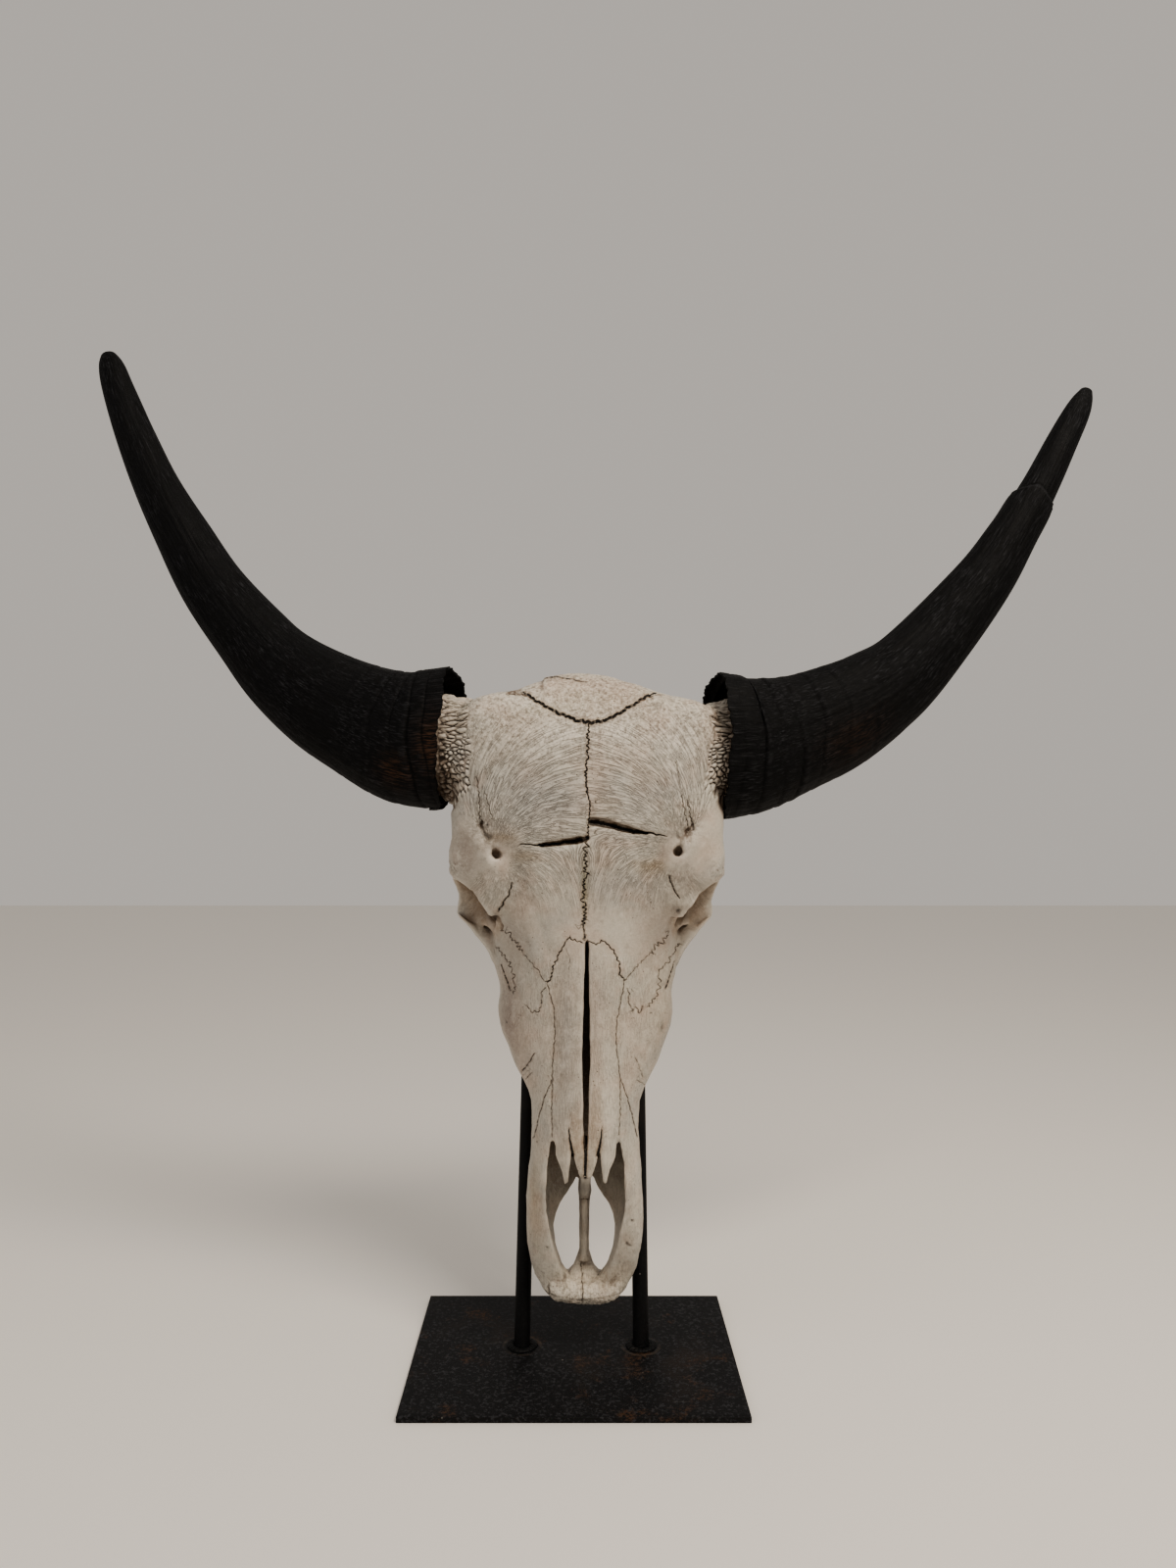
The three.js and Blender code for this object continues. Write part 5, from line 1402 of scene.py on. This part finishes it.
def sheath(side):
    """One sheath: a grid rolled from the tip over the outside to the mouth, and back inside to its end."""
    outer = np.linspace(1, 0, OUTER_ROWS) ** 1.15
    inner = np.linspace(0, HOLLOW_SHARE, INNER_ROWS)
    angle = np.linspace(0, 2 * math.pi, HORN_AROUND + 1)
    tip = np.sqrt(np.clip(1 - ((outer - TIP_START) / TIP_SPAN) ** 2, 0.001, 1))
    tip = np.where(outer > TIP_START, tip, 1)[:, None]
    outside = outer_reach(side, outer, angle) * tip
    wall = EDGE_WALL + (SHEATH_WALL - EDGE_WALL) * smooth_step(0, 0.07, inner)[:, None]
    closing = np.sqrt(np.clip(1 - (inner / (HOLLOW_SHARE + 0.004)) ** 8, 0.0004, 1))[:, None]
    inside = (outer_reach(side, inner, angle) - wall) * closing
    steps_along = OUTER_ROWS + INNER_ROWS - 1
    bpy.ops.object.select_all(action="DESELECT")
    bpy.ops.mesh.primitive_grid_add(x_subdivisions=HORN_AROUND, y_subdivisions=steps_along, size=1)
    piece = bpy.context.active_object
    piece.name = f"keratin_sheath_{side}"
    rows = [horn_rows(side, outer, angle, outside), horn_rows(side, inner, angle, inside)]
    put_points(piece, np.concatenate(rows))
    # Fibre coordinates go round the horn in mm and are drawn out along it.
    shares = np.concatenate([outer, inner])
    way = way_from_mouth(side, shares)[:, None] / MM * np.ones(len(angle))
    girth = np.concatenate([horn_path(side, outer)[4], horn_path(side, inner)[4]])[:, None] / MM
    fibre = np.stack([girth * np.cos(angle), girth * np.sin(angle), way / FIBRE_DRAW], axis=2)
    note(piece, "fibre", fibre.reshape(-1, 3))
    note(piece, "from_mouth", way.reshape(-1))
    note(piece, "rusty", rust_share(side, way, angle).reshape(-1))
    note(piece, "fold", fold_depths(side, way, angle).reshape(-1))
    note(piece, "past_lip", past_lip(side, shares[:, None], angle).reshape(-1) * way.max())
    bpy.ops.object.mode_set(mode="EDIT")
    bpy.ops.mesh.select_all(action="SELECT")
    bpy.ops.mesh.remove_doubles(threshold=SHEATH_MERGE)
    bpy.ops.mesh.fill_holes(sides=0)
    bpy.ops.mesh.normals_make_consistent(inside=False)
    bpy.ops.object.mode_set(mode="OBJECT")
    bpy.ops.object.shade_smooth_by_angle(angle=math.radians(60))
    return piece


KERATIN_BLACK = "#0a0a0b"
KERATIN_SHADE_BLACK = "#020202"
KERATIN_GREY = "#454549"
KERATIN_BROWN = "#0e0d0c"
KERATIN_RUST = "#4c3322"
KERATIN_FRAYED = "#343334"


def black_keratin():
    """Buffalo horn: black and dull, with thin grey streaks along its fibres that are partly painted
    highlight, rusty at the mouth.
    """
    horn = finish_named("black_keratin", IOR=1.54, Specular_IOR_Level=0.12)
    place = add(horn, "TexCoord", out="Object")
    fibre = add(horn, "Attribute", out="Vector", attribute_name="fibre")
    mouth = add(horn, "Attribute", out="Fac", attribute_name="from_mouth")
    rusty = add(horn, "Attribute", out="Fac", attribute_name="rusty")
    # Fibres of a third of a millimetre are drawn a millimetre wide, so that they show.
    threads = add(horn, "TexNoise", {"Vector": fibre, "Scale": 0.95, "Detail": 4, "Roughness": 0.7})
    strands = add(horn, "TexNoise", {"Vector": fibre, "Scale": 0.25, "Detail": 3})
    cloud = add(horn, "TexNoise", {"Vector": place, "Scale": 30, "Detail": 5, "Roughness": 0.65})
    fleck = add(horn, "TexNoise", {"Vector": place, "Scale": 430, "Detail": 3})
    shown = fade(horn, {0: cloud, 1: 0.4, 2: 0.62, 3: 0.1, 4: 0.6})
    # The fibres' grey streaks stand partly for light that they catch: painted highlight.
    streak = fade(horn, {0: threads, 1: 0.49, 2: 0.7, 4: shown})
    colour = mixed(horn, streak, linear(KERATIN_BLACK), linear(KERATIN_GREY))
    warm = fade(horn, {0: strands, 1: 0.5, 2: 0.7, 4: 0.6})
    colour = mixed(horn, warm, colour, linear(KERATIN_BROWN))
    crumbs = fade(horn, {0: threads, 1: 0.45, 2: 0.6, 4: rusty})
    colour = mixed(horn, crumbs, colour, linear(KERATIN_RUST))
    # The growth folds have black painted shade in their grooves and grey beside them, rubbed and partly
    # painted highlight, both broken up by the strands.
    fold = add(horn, "Attribute", out="Fac", attribute_name="fold")
    rubbing = fade(horn, {0: strands, 1: 0.46, 2: 0.66, 4: 0.16})
    rubbed_and_highlit = fade(horn, {0: fold, 1: -0.05, 2: -0.6, 4: rubbing})
    colour = mixed(horn, rubbed_and_highlit, colour, linear(KERATIN_GREY))
    shade = fade(horn, {0: strands, 1: 0.35, 2: 0.55, 3: 0.3, 4: 0.95})
    sunk = fade(horn, {0: fold, 1: 0.08, 2: 0.6, 4: shade})
    colour = mixed(horn, sunk, colour, linear(KERATIN_SHADE_BLACK))
    # The outer layer's end: a pale painted highlight on its rim, and a dark line of painted shadow where it
    # stands off the layer below.
    past = add(horn, "Attribute", out="Fac", attribute_name="past_lip")
    past = add(horn, "Math", {0: threads, 1: 3.0, 2: past}, operation="MULTIPLY_ADD")
    for middle, share, tone in ((0.2, 0.14, KERATIN_GREY), (2.8, 0.95, KERATIN_SHADE_BLACK)):
        off = add(horn, "Math", {0: past, 1: middle}, operation="SUBTRACT")
        off = add(horn, "Math", {0: off}, operation="ABSOLUTE")
        band = fade(horn, {0: off, 1: 1.9, 2: 0.6, 4: share})
        colour = mixed(horn, band, colour, linear(tone))
    near = fade(horn, {0: mouth, 1: 45.0, 2: 5.0, 4: 0.5})
    frayed = fade(horn, {0: threads, 1: 0.55, 2: 0.7, 4: near})
    colour = mixed(horn, frayed, colour, linear(KERATIN_FRAYED))
    rough = add(horn, "MapRange", {0: cloud, 1: 0.3, 2: 0.7, 3: 0.5, 4: 0.72})
    height = add(horn, "Math", {0: strands, 1: 1.2, 2: threads}, operation="MULTIPLY_ADD")
    height = add(horn, "Math", {0: fleck, 1: 0.5, 2: height}, operation="MULTIPLY_ADD")
    bump = add(horn, "Bump", {"Height": height, "Strength": 0.8, "Distance": 0.7 * MM})
    surface_of(horn, Base_Color=colour, Roughness=rough, Normal=bump)
    return horn


keratin_finish = black_keratin()
for side in ("left", "right"):
    finish_piece(sheath(side), keratin_finish, "horn", f"horn_sheath_{side}")

# Floor, light and camera
# A plain pale floor, one large soft light high in front at the right, a weak one at the left, and the room's
# own pale light all round. The camera stands where the photograph was taken from.
FLOOR_SIZE = 8.0
FLOOR_PALE = "#f0ece6"
ROOM_PALE = "#d0cac3"
PICTURE_WIDTH, PICTURE_HEIGHT = 1200, 1600
SENSOR = 36  # mm, along the picture's longer side
bpy.ops.object.select_all(action="DESELECT")
bpy.ops.mesh.primitive_plane_add(size=FLOOR_SIZE, location=(0, 0, 0))
floor = bpy.context.active_object
floor.name = "floor"
floor.data.materials.append(finish_named("matt_white_floor", Base_Color=linear(FLOOR_PALE), Roughness=0.8))

world = bpy.data.worlds.new("pale_room")
bpy.context.scene.world = world
world.use_nodes = True
background = world.node_tree.nodes["Background"]
background.inputs["Color"].default_value = linear(ROOM_PALE)
background.inputs["Strength"].default_value = 0.7


def soft_light(name, place, aim, size, power, colour):
    """A square lamp that looks at a place."""
    lamp = bpy.data.lights.new(name, "AREA")
    lamp.size = size
    lamp.energy = power
    lamp.color = linear(colour)[:3]
    holder = bpy.data.objects.new(name, lamp)
    bpy.context.scene.collection.objects.link(holder)
    holder.location = place
    holder.rotation_euler = (Vector(aim) - Vector(place)).to_track_quat("-Z", "Y").to_euler()


soft_light("high_right", (0.7, -0.95, 1.9), (0.0, 0.0, 0.45), size=0.7, power=24, colour="#fff5e8")
soft_light("left_fill", (-1.6, -1.1, 1.3), (0.0, 0.0, 0.4), size=1.4, power=3, colour="#f4f6ff")
bpy.context.scene.view_settings.look = "AgX - Medium High Contrast"

camera = bpy.data.objects.new("camera", bpy.data.cameras.new("camera"))
bpy.context.scene.collection.objects.link(camera)
camera.location = EYE_PLACE
camera.rotation_euler = (math.pi / 2, 0, 0)
camera.data.sensor_width = SENSOR
camera.data.lens = EYE_PIXELS / PICTURE_HEIGHT * SENSOR
camera.data.shift_x = (PICTURE_WIDTH / 2 - MIDDLE_U) / PICTURE_HEIGHT
camera.data.shift_y = (MIDDLE_V - PICTURE_HEIGHT / 2) / PICTURE_HEIGHT
camera.data.clip_start = 0.01
bpy.context.scene.camera = camera
